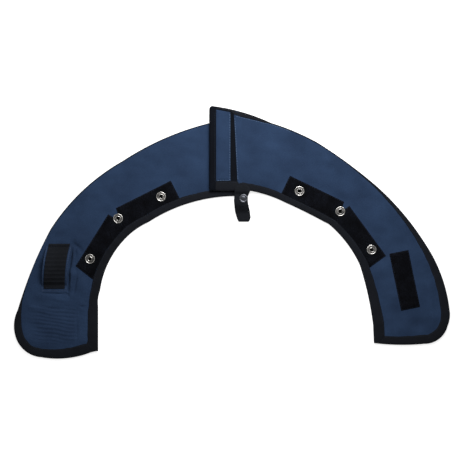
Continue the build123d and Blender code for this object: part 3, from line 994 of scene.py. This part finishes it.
def layer(half, word, plan, triangles, top, bottom, material, slot):
    """One layer of a half, as one piece for each zone."""
    made = []
    for name, chosen, joint, parts in ZONES[half.side]:
        mine = triangles[chosen(plan[triangles].mean(1))]
        used, mine = np.unique(mine, return_inverse=True)
        heights = (top[used], bottom[used], half.lift)
        piece = slab(f"{name}_{word}", plan[used], mine.reshape(-1, 3), *heights, material, slot)
        bend(piece, joint, *[f"{part}_{word}" for part in parts])
        made.append(piece)
    return made


def cut_line(half, spacing):
    """The line between the left half's zones, so that both share its edge."""
    if half.side == "right":
        return None
    side = np.array([-CUT_WAY[1], CUT_WAY[0]])
    return CUT_POINT - np.arange(-30 * MM, 160 * MM, spacing)[:, None] * side


FINE_BOX = {"left": (np.array([-264, -158]) * MM, np.array([-184, -8]) * MM, 1.3 * MM)}


def make_panels(half):
    """A half's face cloth, lining and foam."""
    edge = panel_edge(half)
    fine, coarse = 2.3 * MM, 5 * MM
    hem = [half_plane(TURNED_EDGE, TURNED_WAY)] if half.side == "right" else []
    plan, triangles = plan_mesh(
        [edge, *hem], half.shanks, fine, [half.face], cut_line(half, fine), FINE_BOX.get(half.side)
    )
    level = half.face_level(plan)
    if half.side == "right":
        level += turned_hem(plan)
    faces = layer(half, "face", plan, triangles, level, level - CLOTH, NAVY, "navy_fabric")

    plan, triangles = plan_mesh([edge], half.shanks, coarse, (), cut_line(half, coarse))
    low = lining_low(half, plan)
    high = half.face_level(plan, wrinkled=False) - CLOTH
    linings = layer(half, "lining", plan, triangles, low + CLOTH, low, LINING, "lining_fabric")
    foams = layer(half, "foam", plan, triangles, high - SEAM, low + CLOTH + SEAM, FOAM, "foam")


# ---------------------------------------------------------------- binding tape

TAPE_TURN = 2.2 * MM            # radius in plan of the tape's turn round the edge
FLANGE_RISE = 0.12 * MM         # how much the flange arches up
LAP_TAPE_EDGE = -20.8 * MM      # the lap end's darker tape lies to the left of this


def tape_section(width_top, width_under):
    """The tape's folded section in (across, height), as if flat, running under, out and back over."""
    bulge = min(TAPE_TURN, 0.8 * width_top, 0.8 * width_under)
    turn = np.linspace(-math.pi / 2, math.pi / 2, 9)
    out = np.column_stack([bulge * (1 - np.cos(turn)), MIDDLE * (1 + np.sin(turn))])
    wall = min(TAPE, 0.5 * bulge)
    inside = np.column_stack([
        wall + (bulge - wall) * (1 - np.cos(turn)), MIDDLE + (MIDDLE - TAPE) * np.sin(turn)
    ])[::-1]
    flange = width_top - bulge
    return np.vstack([
        [(width_under, 0.05 * MM), (0.5 * (width_under + bulge), 0)],
        out,
        [
            (bulge + 0.35 * flange, FULL + FLANGE_RISE),
            (bulge + 0.7 * flange, FULL + 0.1 * MM),
            (width_top - 0.12 * flange, FULL),
            (width_top, FULL - 0.25 * MM),
            (width_top, FULL - TAPE + SEAM),
        ],
        inside,
        [(width_under, TAPE - SEAM)],
    ])


def make_binding(half):
    """The tape round a half's edge, a piece for each zone."""
    inner, top_width = nearest(half.outer, half.face)
    under, under_width = nearest(half.outer, half.under)
    count = len(half.outer)
    steps = np.linalg.norm(np.roll(half.outer, -1, 0) - half.outer, axis=1)
    along = np.r_[0, np.cumsum(steps)[:-1]]
    waver = swell(half.outer, 31, 14 * MM, 0.22 * MM)
    rise = swell(half.outer, 32, 11 * MM, 0.12 * MM)
    rings, flats = [], []
    for k in range(count):
        width = top_width[k] + (waver[k] if top_width[k] > 3 * MM else 0)
        section = tape_section(width, under_width[k])
        over = (inner[k] - half.outer[k]) / max(top_width[k], TINY)
        below = (under[k] - half.outer[k]) / max(under_width[k], TINY)
        blend = smooth_step(section[:, 1], 0.3 * MIDDLE, 1.7 * MIDDLE)[:, None]
        place = half.outer[k] + section[:, :1] * (blend * over + (1 - blend) * below)
        height = section[:, 1] + rise[k] * smooth_step(section[:, 1], MIDDLE, FULL)
        rings.append(np.column_stack([place, height + half.lift(place[:, 0])]))
        lengths = np.linalg.norm(np.diff(section, axis=0), axis=1)
        flats.append(np.column_stack([np.r_[0, np.cumsum(lengths)], np.full(len(section), along[k])]))
    rings, flats = np.array(rings), np.array(flats)
    for name, chosen, joint, _ in ZONES[half.side]:
        mine = chosen(half.outer)
        stations = [*range(count), 0]
        if not mine.all():
            first = next(k for k in range(count) if mine[k] and not mine[k - 1])
            stations = [k % count for k in range(first, first + mine.sum())]
        if name == "left_outer":    # reaches over to the inner zone's ends, so that no gap is left
            stations = [first - 1, *stations, (stations[-1] + 1) % count]
        piece = swept(f"{name}_binding", rings[stations], flats[stations], TAPE_BLACK)
        if half.side == "right":
            darken_lap_end(piece)
        bend(piece, joint, *TAPES[name])


def darken_lap_end(piece):
    """The tape down the straight lap end is cut from the darker roll."""
    piece.data.materials.append(LAP_TAPE)
    for face in piece.data.polygons:
        if face.center.x < LAP_TAPE_EDGE:
            face.material_index = 1


def swept(name, rings, flats, material):
    """A tube through closed sections, capped at its ends unless it meets itself."""
    closed = np.allclose(rings[0], rings[-1])
    if closed:
        rings, flats = rings[:-1], flats[:-1]
    rows, size = rings.shape[:2]
    row = np.arange(size)
    turned = np.roll(row, -1)
    faces = []
    for k in range(rows if closed else rows - 1):
        low, high = k * size, (k + 1) % rows * size
        faces += np.column_stack([low + row, low + turned, high + turned, high + row]).tolist()
    if not closed:
        faces += [row[::-1], (rows - 1) * size + row]
    return new_piece(name, rings.reshape(-1, 3), faces, flats.reshape(-1, 2), material, sharp=50)


# ---------------------------------------------------------------- stitches

def stitch_points(start, end, thick):
    """One stitch as a small bowed bead, its ends sunk into the cloth."""
    along = end - start
    side = np.array([-along[1], along[0], 0]) / max(np.linalg.norm(along[:2]), TINY)
    rings = []
    for t in STITCH_RINGS:
        fat = thick * (0.35 + 0.65 * math.sin(math.pi * min(max(t, 0.06), 0.94)) ** 0.4)
        middle = start + along * t + np.array([0, 0, thick * (1.2 * math.sin(math.pi * t) - 0.75)])
        for turn in range(STITCH_SIDES):
            a = turn * TAU / STITCH_SIDES
            rings.append(middle + fat * (math.cos(a) * side + math.sin(a) * np.array([0, 0, 1])))
    return rings


STITCH, STITCH_GAP = 2.5 * MM, 0.7 * MM
STITCH_RINGS = (0.0, 0.14, 0.38, 0.62, 0.86, 1.0)
STITCH_SIDES = 6
SEWN_IN, WIDE_FLANGE = 1.5 * MM, 3.2 * MM       # the row's distance from the tape's open edge
SHORTEST_RUN = 6                                # and the narrowest flange and fewest points it needs


def stitches(name, path, thick=0.24 * MM, gap=STITCH_GAP, material=THREAD):
    """A row of stitches along points in space."""
    path = np.asarray(path)
    at = np.r_[0, np.cumsum(np.linalg.norm(np.diff(path, axis=0), axis=1))]
    points, faces, flat = [], [], []
    around = np.arange(STITCH_SIDES)
    turned = np.roll(around, -1)
    for begin in np.arange(gap, at[-1] - STITCH, STITCH + gap):
        ends = [np.array([np.interp(s, at, axis) for axis in path.T]) for s in (begin, begin + STITCH)]
        first = len(points)
        points += stitch_points(*ends, thick)
        for ring in range(len(STITCH_RINGS)):
            low = first + ring * STITCH_SIDES
            high = low + STITCH_SIDES
            flat += [(begin + 0.5 * MM * ring, 0.2 * MM * side) for side in around]
            if ring < len(STITCH_RINGS) - 1:
                faces += np.column_stack([low + around, low + turned, high + turned, high + around]).tolist()
        faces += [first + around[::-1], low + around]
    return new_piece(name, points, faces, flat, material, sharp=80)


def make_binding_stitches(half):
    """Thread along the binding's flange, a little out from its open edge, where the flange is wide."""
    outer, width = nearest(half.face, half.outer)
    line = half.face + SEWN_IN * (outer - half.face) / np.maximum(width, SEAM)[:, None]
    path = np.column_stack([line, FULL + FLANGE_RISE + half.lift(line[:, 0])])
    for name, chosen, joint, _ in ZONES[half.side]:
        mine = (width > WIDE_FLANGE) & chosen(line)
        start = int(np.argmin(mine))
        runs = [[]]
        for k in np.roll(np.arange(len(mine)), -start):
            if mine[k]:
                runs[-1].append(k)
            elif runs[-1]:
                runs.append([])
        for number, run in enumerate(run for run in runs if len(run) > SHORTEST_RUN):
            bend(stitches(f"{name}_binding_stitches_{number + 1}", path[run]), joint)


for half in (right, left):
    make_panels(half)
for half in (right, left):
    make_binding(half)
for half in (right, left):
    make_binding_stitches(half)


# ---------------------------------------------------------------- hook-and-loop strips and patches

SELVEDGE = 1.3 * MM
SELVEDGE_THICK = 0.55 * MM


def pile_height(gap):
    """A strip's height over its cloth: a flat woven selvedge, then the pile."""
    selvedge = SELVEDGE_THICK * (1 - edge_round(gap, 0.4 * MM))
    return selvedge + (PILE - SELVEDGE_THICK) * smooth_step(gap, 0.7 * SELVEDGE, 1.9 * SELVEDGE)


def make_strip(name, half, box, cuts, node, hold, held_by):
    """A loop strip or patch that lies on a half's face, with a stitched selvedge."""
    outline = evenly(box)
    rings = [moved_in(outline, step * MM) for step in (0.5, 1.3, 2.4)]
    plan, triangles = plan_mesh([outline, half.face], cuts, 2.6 * MM, rings)
    base = half.face_level(plan)
    gap = nearest(plan, outline)[1]
    tufts = swell(plan, len(name), 3.4 * MM, 0.1 * MM) * smooth_step(gap, 1 * MM, 3 * MM)
    top = base + pile_height(gap) + tufts
    piece = slab(name, plan, triangles, top, base + SEAM, half.lift, LOOP, "loop_pile")
    hold(piece, held_by, node)
    row = moved_in(outline, 0.8 * SELVEDGE)
    if cuts:
        row = row[within(row, half.face) & ~np.any([within(row, cut) for cut in cuts], 0)]
    row = np.vstack([row, row[:1]])
    level = half.face_level(row) + 0.6 * MM + half.lift(row[:, 0])
    hold(stitches(f"{name}_stitches", np.column_stack([row, level])), held_by)


for half in (left, right):
    side = half.side
    upper, lower = half.strips[f"{side}_upper"], half.strips[f"{side}_lower"]
    parts = (f"{side}_upper_strip", fasten, f"{side}_upper")
    make_strip(f"{side}_upper_loop_strip", half, upper, half.shanks, *parts)
    parts = (f"{side}_lower_strip", bend, f"{side}_leg_fold")
    make_strip(f"{side}_lower_loop_strip", half, lower, [*half.shanks, upper], *parts)

closure_box = anticlockwise(plan_loops("closure_loop_patch", 1, -1, 1, no_lift)[0])
make_strip("closure_loop_pad", right, closure_box, [], "closure_loop_patch", fasten, "right_leg")


def make_patch(kind, body, material, slot, pile_up):
    """A flat patch of hook or loop tape where the CAD has it, its pile up or down."""
    low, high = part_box(f"{kind}_patch")
    outline = evenly(box_outline(f"{kind}_patch"))
    rings = [moved_in(outline, step * MM) for step in (1.3, 2.4)]
    plan, triangles = plan_mesh([outline], (), 2.8 * MM, rings)
    gap = nearest(plan, outline)[1]
    share = (0.5 + 0.5 * smooth_step(gap, 0.9 * MM, 2.4 * MM)) * (1 - 0.5 * edge_round(gap, 0.4 * MM))
    pile = (high.z - low.z) * share
    top = low.z + pile if pile_up else np.full(len(plan), high.z)
    bottom = np.full(len(plan), low.z) if pile_up else high.z - pile
    piece = slab(f"{kind}_pad", plan, triangles, top, bottom, no_lift, material, slot)
    fasten(piece, body, f"{kind}_patch")


make_patch("lap_loop", "left_tongue", LOOP, "loop_pile", True)
make_patch("lap_hook", "right_upper", HOOK, "hook_tape", False)
make_patch("closure_hook", "left_leg", HOOK, "hook_tape", False)


# ---------------------------------------------------------------- press studs and their back caps

# Profiles of (radius, height) in mm.
STUD = [
    (1.0, 5.0), (1.6, 5.0), (1.6, 5.6), (5.8, 5.6), (6.25, 5.75), (6.3, 6.15), (5.95, 6.5), (5.4, 6.5),
    (5.05, 6.1), (4.6, 5.85), (3.5, 5.85), (3.2, 6.1), (3.05, 6.9), (3.1, 7.45), (2.9, 7.85),
    (2.6, 7.9), (2.35, 7.6), (2.2, 7.0), (2.2, 5.95), (1.0, 5.85),
]
# STUD_EYE is a dark cup set in each stud's hole: painted shadow where the socket's hollow is shaded.
STUD_EYE = [(0, 6.0), (2.15, 6.0), (2.18, 6.9), (2.05, 6.95), (1.95, 6.2), (0, 6.15)]
CAP = [
    (0, 0.3), (0.7, 0.25), (1.3, 0.1), (3.9, 0.1), (4.7, 0.22), (5.0, 0.5), (4.9, 0.8), (1.6, 0.8),
    (1.6, 4.8), (0, 4.8),
]
DISH = (2.9, 5.2, 6.3, NICKEL_PAINTED_SHADE)     # the ring between the boss and the rim, in darker nickel as painted shade in the hollow

for half in (left, right):
    for body, places in half.studs.items():
        row = lathe(f"{body}_studs", rounded_profile(STUD, 0.3), places, NICKEL, shade_ring=DISH)
        eyes = lathe(f"{body}_stud_eye_shadows", rounded_profile(STUD_EYE, 0.1), places, EYE_PAINTED_SHADOW)
        backs = lathe(f"{body}_caps", rounded_profile(CAP, 0.2), places, GUNMETAL)
        fasten(row, body, f"{body}_press_studs")
        fasten(eyes, body)
        fasten(backs, body, f"{body}_stud_caps")


# ---------------------------------------------------------------- lap end: tape, stay channel, hem stitching

CHANNEL_LOW = low_z("stay_channel")
HEM_ROW, RIM_ROW = 0.75 * MM, 0.9 * MM  # rows of thread from the channel's edge and from the turned edge
RIM_END, RIM_LOW = 78 * MM, 100 * MM    # the rim's row ends at this x, and lies above this y


def make_lap_tape():
    """The black tape that shows between the channel and the turned edge."""
    beyond = half_plane(TURNED_EDGE, TURNED_WAY)
    plan, triangles = plan_mesh([panel_edge(right)], [beyond, *right.shanks], 3 * MM, [right.face])
    level = FACE + swell(plan, 41, 20 * MM, 0.12 * MM)
    tape = slab("lap_tape", plan, triangles, level, level - CLOTH, right.lift, LAP_TAPE, "binding_tape")
    fasten(tape, "right_upper", "lap_end_tape")


def top_stitching(name, path, thick):
    """Pale thread along a path in space on the lap end."""
    fasten(stitches(name, path, thick, material=PALE_THREAD), "right_upper")


def make_channel():
    """A sleeve of face cloth over the stay, sewn down at its edges."""
    outline = evenly(anticlockwise(plan_loops("stay_channel", 1, CHANNEL_LOW, 1, no_lift)[0]))
    rings = [moved_in(outline, step * MM) for step in (0.5, 1.2, 2.3)]
    plan, triangles = plan_mesh([outline], (), 2.4 * MM, rings)
    gap = nearest(plan, outline)[1]
    puff = 0.25 * MM * smooth_step(gap, 2 * MM, 7 * MM)
    puff = puff + smooth_step(gap, 2 * MM, 5 * MM) * swell(plan, 42, 16 * MM, 0.1 * MM)
    edge = 0.55 * MM * (1 - edge_round(gap, 0.5 * MM)) + 0.75 * MM * smooth_step(gap, 1.0 * MM, 2.3 * MM)
    top = CHANNEL_LOW + edge + puff + 0.12 * MM
    hollow = (high_z("stay") - CHANNEL_LOW) * smooth_step(gap, 1.2 * MM, 2.2 * MM)
    bottom = CHANNEL_LOW + SEAM + hollow
    sleeve = slab("stay_channel_sleeve", plan, triangles, top, bottom, no_lift, NAVY, "navy_fabric")
    fasten(sleeve, "right_upper", "stay_channel")
    low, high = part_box("stay_channel")
    x_low, x_high, y_low = low.x + HEM_ROW, high.x - HEM_ROW, low.y + HEM_ROW
    route = np.array([(x_low, y_low), (x_high, y_low), (x_high, high.y - 5 * MM)])
    path = np.vstack([smooth_run(route[:2], 2 * MM), smooth_run(route[1:], 2 * MM)])
    level = np.full(len(path), CHANNEL_LOW + 0.75 * MM)
    top_stitching("stay_channel_stitches", np.column_stack([path, level]), 0.3 * MM)


def on_hem(path):
    """Points in plan raised to the face cloth of the lap end."""
    level = right.face_level(path) + turned_hem(path) + 0.1 * MM + right.lift(path[:, 0])
    return np.column_stack([path, level])


def make_hem_stitching():
    """Pale top-stitching just inside the lap's turned edge and along the rim beside it."""
    side = np.array([-TURNED_WAY[1], TURNED_WAY[0]])
    reach = np.arange(-100, 70, 2.0)[:, None] * MM
    path = TURNED_EDGE + reach * side + RIM_ROW * TURNED_WAY
    top_stitching("turned_edge_stitches", on_hem(path[within(path, right.face)]), 0.28 * MM)

    rim = moved_in(right.face, RIM_ROW)
    beyond = (rim - TURNED_EDGE) @ TURNED_WAY > 1 * MM
    rim = rim[beyond & (rim[:, 0] < RIM_END) & (rim[:, 1] > RIM_LOW)]
    top_stitching("rim_top_stitches", on_hem(rim[np.argsort(rim[:, 0])]), 0.24 * MM)


make_lap_tape()
make_channel()
make_hem_stitching()


# ---------------------------------------------------------------- keeper on the left leg

KEEPER_CENTRE = Vector((-225.6, -44.8)) * MM
KEEPER_LEAN = math.tan(math.radians(6.5))
KEEPER_DRIFT = 1.6 * MM
KEEPER_SPAN = 57.6 * MM
HALF_SPAN = KEEPER_SPAN / 2
KEEPER_SEAT = 4 * MM
KEEPER_BOW = 9 * MM
WEBBING_WIDE = 27 * MM
BACKING_WIDE = 32.2 * MM
HEM = 5 * MM
RIB_PITCH = 2.6 * MM


def bow(along):
    """Height of the keeper's arch over its seats."""
    reach = HALF_SPAN - KEEPER_SEAT
    radius = (reach ** 2 + KEEPER_BOW ** 2) / (2 * KEEPER_BOW)
    inside = np.minimum(np.abs(along), reach)
    return np.sqrt(radius ** 2 - inside ** 2) - (radius - KEEPER_BOW)


def keeper_plan(across, along):
    """Where a point of the keeper lies in plan: the keeper leans, and its middle drifts outwards."""
    drift = KEEPER_DRIFT * (1 - (2 * along / KEEPER_SPAN) ** 2)
    return KEEPER_CENTRE.x + across + along * KEEPER_LEAN - drift, KEEPER_CENTRE.y + along


def keeper_band(name, width, start, low, thick, rib, material, node):
    """A band bowed along the keeper, with cross ribs and soft edges."""
    along = np.arange(start, HALF_SPAN + 0.3 * MM, 0.65 * MM)
    edge = width / 2
    middle = np.linspace(1.2 * MM - edge, edge - 1.2 * MM, 13)
    across = np.r_[-edge, 0.4 * MM - edge, middle, edge - 0.4 * MM, edge]
    t, s = np.meshgrid(along, across, indexing="ij")
    inset = edge - np.abs(s)
    ribs = rib * (np.abs(np.sin(np.pi * t / RIB_PITCH)) - 0.5) * np.minimum(1, inset / (1.2 * MM))
    ribs += 0.6 * rib * np.sin(TAU * t / (5.3 * MM) + 0.4)
    lump = 0.35 * MM * np.sin(t / (9 * MM) + 1.5) * s / width
    drop = 0.35 * thick * edge_round(inset, 0.6 * MM)
    under = low + bow(t) * (1 + lump / KEEPER_BOW)
    x, y = keeper_plan(s, t)
    sheets = [np.stack([x, y, z], 2).reshape(-1, 3) for z in (under + thick - drop + ribs, under)]
    columns = len(across)
    size = t.size
    corner = np.arange(size).reshape(t.shape)
    quads = np.stack([corner[:-1, :-1], corner[:-1, 1:], corner[1:, 1:], corner[1:, :-1]], 2).reshape(-1, 4)
    rim = [*corner[0], *corner[1:, -1], *corner[-1, -2::-1], *corner[-2:0:-1, 0]]
    faces = [*quads.tolist(), *(quads[:, [0, 3, 2, 1]] + size).tolist()]
    faces += [[b, a, size + a, size + b] for a, b in zip(rim, rim[1:] + rim[:1])]
    flat = np.column_stack([t.ravel(), s.ravel()])
    piece = new_piece(name, np.vstack(sheets), faces, np.vstack([flat, flat]), material, sharp=50)
    fasten(piece, "left_leg", node)


KEEPER_LOW = low_z("keeper_backing")
BACKING = low_z("keeper_webbing") - KEEPER_LOW
KEEPER_TOP = KEEPER_LOW + 0.9 * MM + BACKING
WEBBING_THICK = 0.7 * (high_z("keeper_webbing") - high_z("keeper_backing"))
keeper_band(
    "keeper_lining", BACKING_WIDE, -HALF_SPAN - HEM, KEEPER_TOP - BACKING, BACKING, 0, NAVY,
    "keeper_backing",
)
keeper_band(
    "keeper_band", WEBBING_WIDE, -HALF_SPAN, KEEPER_TOP + SEAM, WEBBING_THICK, 0.45 * MM, WEBBING,
    "keeper_webbing",
)


def keeper_row(across, along, height):
    """Points on the keeper, from its own directions."""
    across, along = np.broadcast_arrays(across, along)
    return np.column_stack([*keeper_plan(across, along), height + bow(along)])


def keeper_stitching():
    """Navy top-stitching along the backing's edges and hem, and bars across the sewn ends."""
    top = KEEPER_TOP + 0.1 * MM
    side = BACKING_WIDE / 2 - 0.7 * MM
    length = np.arange(-HALF_SPAN - HEM + 1 * MM, HALF_SPAN - 1 * MM, 1.5 * MM)
    rows = [keeper_row(edge, length, top) for edge in (-side, side)]
    rows.append(keeper_row(np.linspace(-side, side, 20), -HALF_SPAN - 0.5 * HEM, top))
    for number, row in enumerate(rows):
        name = f"keeper_edge_stitches_{number + 1}"
        fasten(stitches(name, row, 0.26 * MM, 0.4 * MM, KEEPER_THREAD), "left_leg")
    web = WEBBING_WIDE / 2 - 1.5 * MM
    for number, t in enumerate((-HALF_SPAN + 1.5 * MM, HALF_SPAN - 1.5 * MM, HALF_SPAN - 3 * MM)):
        row = keeper_row(np.linspace(-web, web, 16), t, top + 1.25 * MM)
        fasten(stitches(f"keeper_bar_stitches_{number + 1}", row), "left_leg")


keeper_stitching()


# ---------------------------------------------------------------- snap tab, all in mm until it is meshed

TAB_LEFT = [(12.8, 8.6), (16.4, 6.6), (26, 3.8), (40, 2.4), (53, 3.4)]
TAB_RIGHT = [(12.8, 21.4), (14.6, 22.8), (18.4, 24), (26.2, 23), (37.3, 20.5), (45.1, 20.2), (53, 23.6)]
TAB_TIP = 60.8
TAB_SHOULDER = 53.0
TAB_MIDDLE = 13.4
STRAP = 1.2
TAB_STEP = 0.5
TAB_RIB, TAB_RIB_PITCH = 0.09, 1.3
TAB_COLUMNS = 12
FAR_SIDE = 30                   # where the under side lies in the webbing's cloth coordinates


def tab_sides(y):
    """The tab's left and right edges at a height up the tab, in mm, drawn in towards its round tip."""
    sides = np.array([np.interp(y, *np.array(side).T) for side in (TAB_LEFT, TAB_RIGHT)])
    if y > TAB_SHOULDER:
        lean = math.sqrt(max(0.0, 1 - ((y - TAB_SHOULDER) / (TAB_TIP - TAB_SHOULDER)) ** 2))
        sides = TAB_MIDDLE + (sides - TAB_MIDDLE) * lean
    return sides


def curved(route):
    """Points (y, z) evenly along a smooth curve that a route of control points guides."""
    curve = bpy.data.curves.new("guide", "CURVE")
    curve.dimensions = "3D"
    spline = curve.splines.new("NURBS")
    spline.points.add(len(route) - 1)
    for point, (y, z) in zip(spline.points, route):
        point.co = (0, y, z, 1)
    spline.order_u = 3
    spline.use_endpoint_u = True
    curve.resolution_u = 12
    guide = bpy.data.objects.new("guide", curve)
    line = np.array([v.co for v in bpy.data.meshes.new_from_object(guide).vertices])[:, 1:]
    bpy.data.objects.remove(guide)
    return smooth_run(line, TAB_STEP)


def webbing_run(name, route):
    """A run of the tab's webbing along a centre line (y, z) in mm, ribbed across its length."""
    line = curved(route)
    ahead = np.gradient(line, axis=0)
    ahead /= np.linalg.norm(ahead, axis=1)[:, None]
    rings, flats = [], []
    for k, ((y, z), (ahead_y, ahead_z)) in enumerate(zip(line, ahead)):
        low, high = tab_sides(y)
        rib = TAB_RIB * abs(math.sin(math.pi * k * TAB_STEP / TAB_RIB_PITCH))
        section, flat = [], []
        for side in (1, -1):
            for j in range(TAB_COLUMNS + 1):
                t = j / TAB_COLUMNS if side > 0 else 1 - j / TAB_COLUMNS
                soft = 1 - 0.6 * float(edge_round(np.array(min(t, 1 - t) * (high - low)), 1.0))
                off = side * (STRAP / 2 * soft + (rib if 0 < j < TAB_COLUMNS else 0))
                section.append((low + (high - low) * t, y - ahead_z * off, z + ahead_y * off))
                flat.append((k * TAB_STEP, (high - low) * t + (side < 0) * FAR_SIDE))
        rings.append(section)
        flats.append(flat)
    return swept(name, np.array(rings) * MM, np.array(flats) * MM, WEBBING)


BACK_LEVEL = high_z("tab_back_strap") / MM - STRAP / 2
BACK_ROUTE = [
    (51.2, BACK_LEVEL), (44, BACK_LEVEL), (37, BACK_LEVEL), (32, 3.4), (28, 0.95), (22, 0.8), (17, 0.8),
]
FRONT_ROUTE = [
    (17, 2.7), (21, 2.7), (25, 3.0), (30, 6.6), (35, 10.2), (41, 10.2), (48.3, 10.2), (51, 12.4),
    (54, 13.2), (60.4, 13.0),
]
FOLD_ROUTE = [(17, 0.8), (15, 0.8), (13.6, 0.95), (13.2, 1.75), (13.6, 2.55), (15, 2.7), (17, 2.7)]
fasten(webbing_run("tab_back_webbing", BACK_ROUTE), "tab_back", "tab_back_strap")
fasten(webbing_run("tab_front_webbing", FRONT_ROUTE), "tab_front", "tab_front_strap")
fold = webbing_run("tab_fold_webbing", FOLD_ROUTE)
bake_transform(fold)

SNAP_CENTRE = stud_places("tab_snap_cap")
SNAP_CAP = [
    (0, 9.8), (1.1, 9.8), (1.1, 10.8), (5.3, 10.8), (5.7, 11.0), (5.7, 11.5), (5.35, 12.0), (4.6, 12.25),
    (3.7, 12.1), (3.3, 11.95), (2.9, 12.1), (1.6, 12.3), (0, 12.3),
]
snap = lathe("tab_snap_dome", rounded_profile(SNAP_CAP, 0.3), SNAP_CENTRE, GUNMETAL, turns=48)
fasten(snap, "tab_front", "tab_snap_cap")


# ---------------------------------------------------------------- carried-over CAD nodes

for node, material in (("tab_snap_socket", NICKEL), ("tab_snap_stud", NICKEL), ("stay", PLASTIC)):
    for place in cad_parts[node].material_slots:
        place.material = material
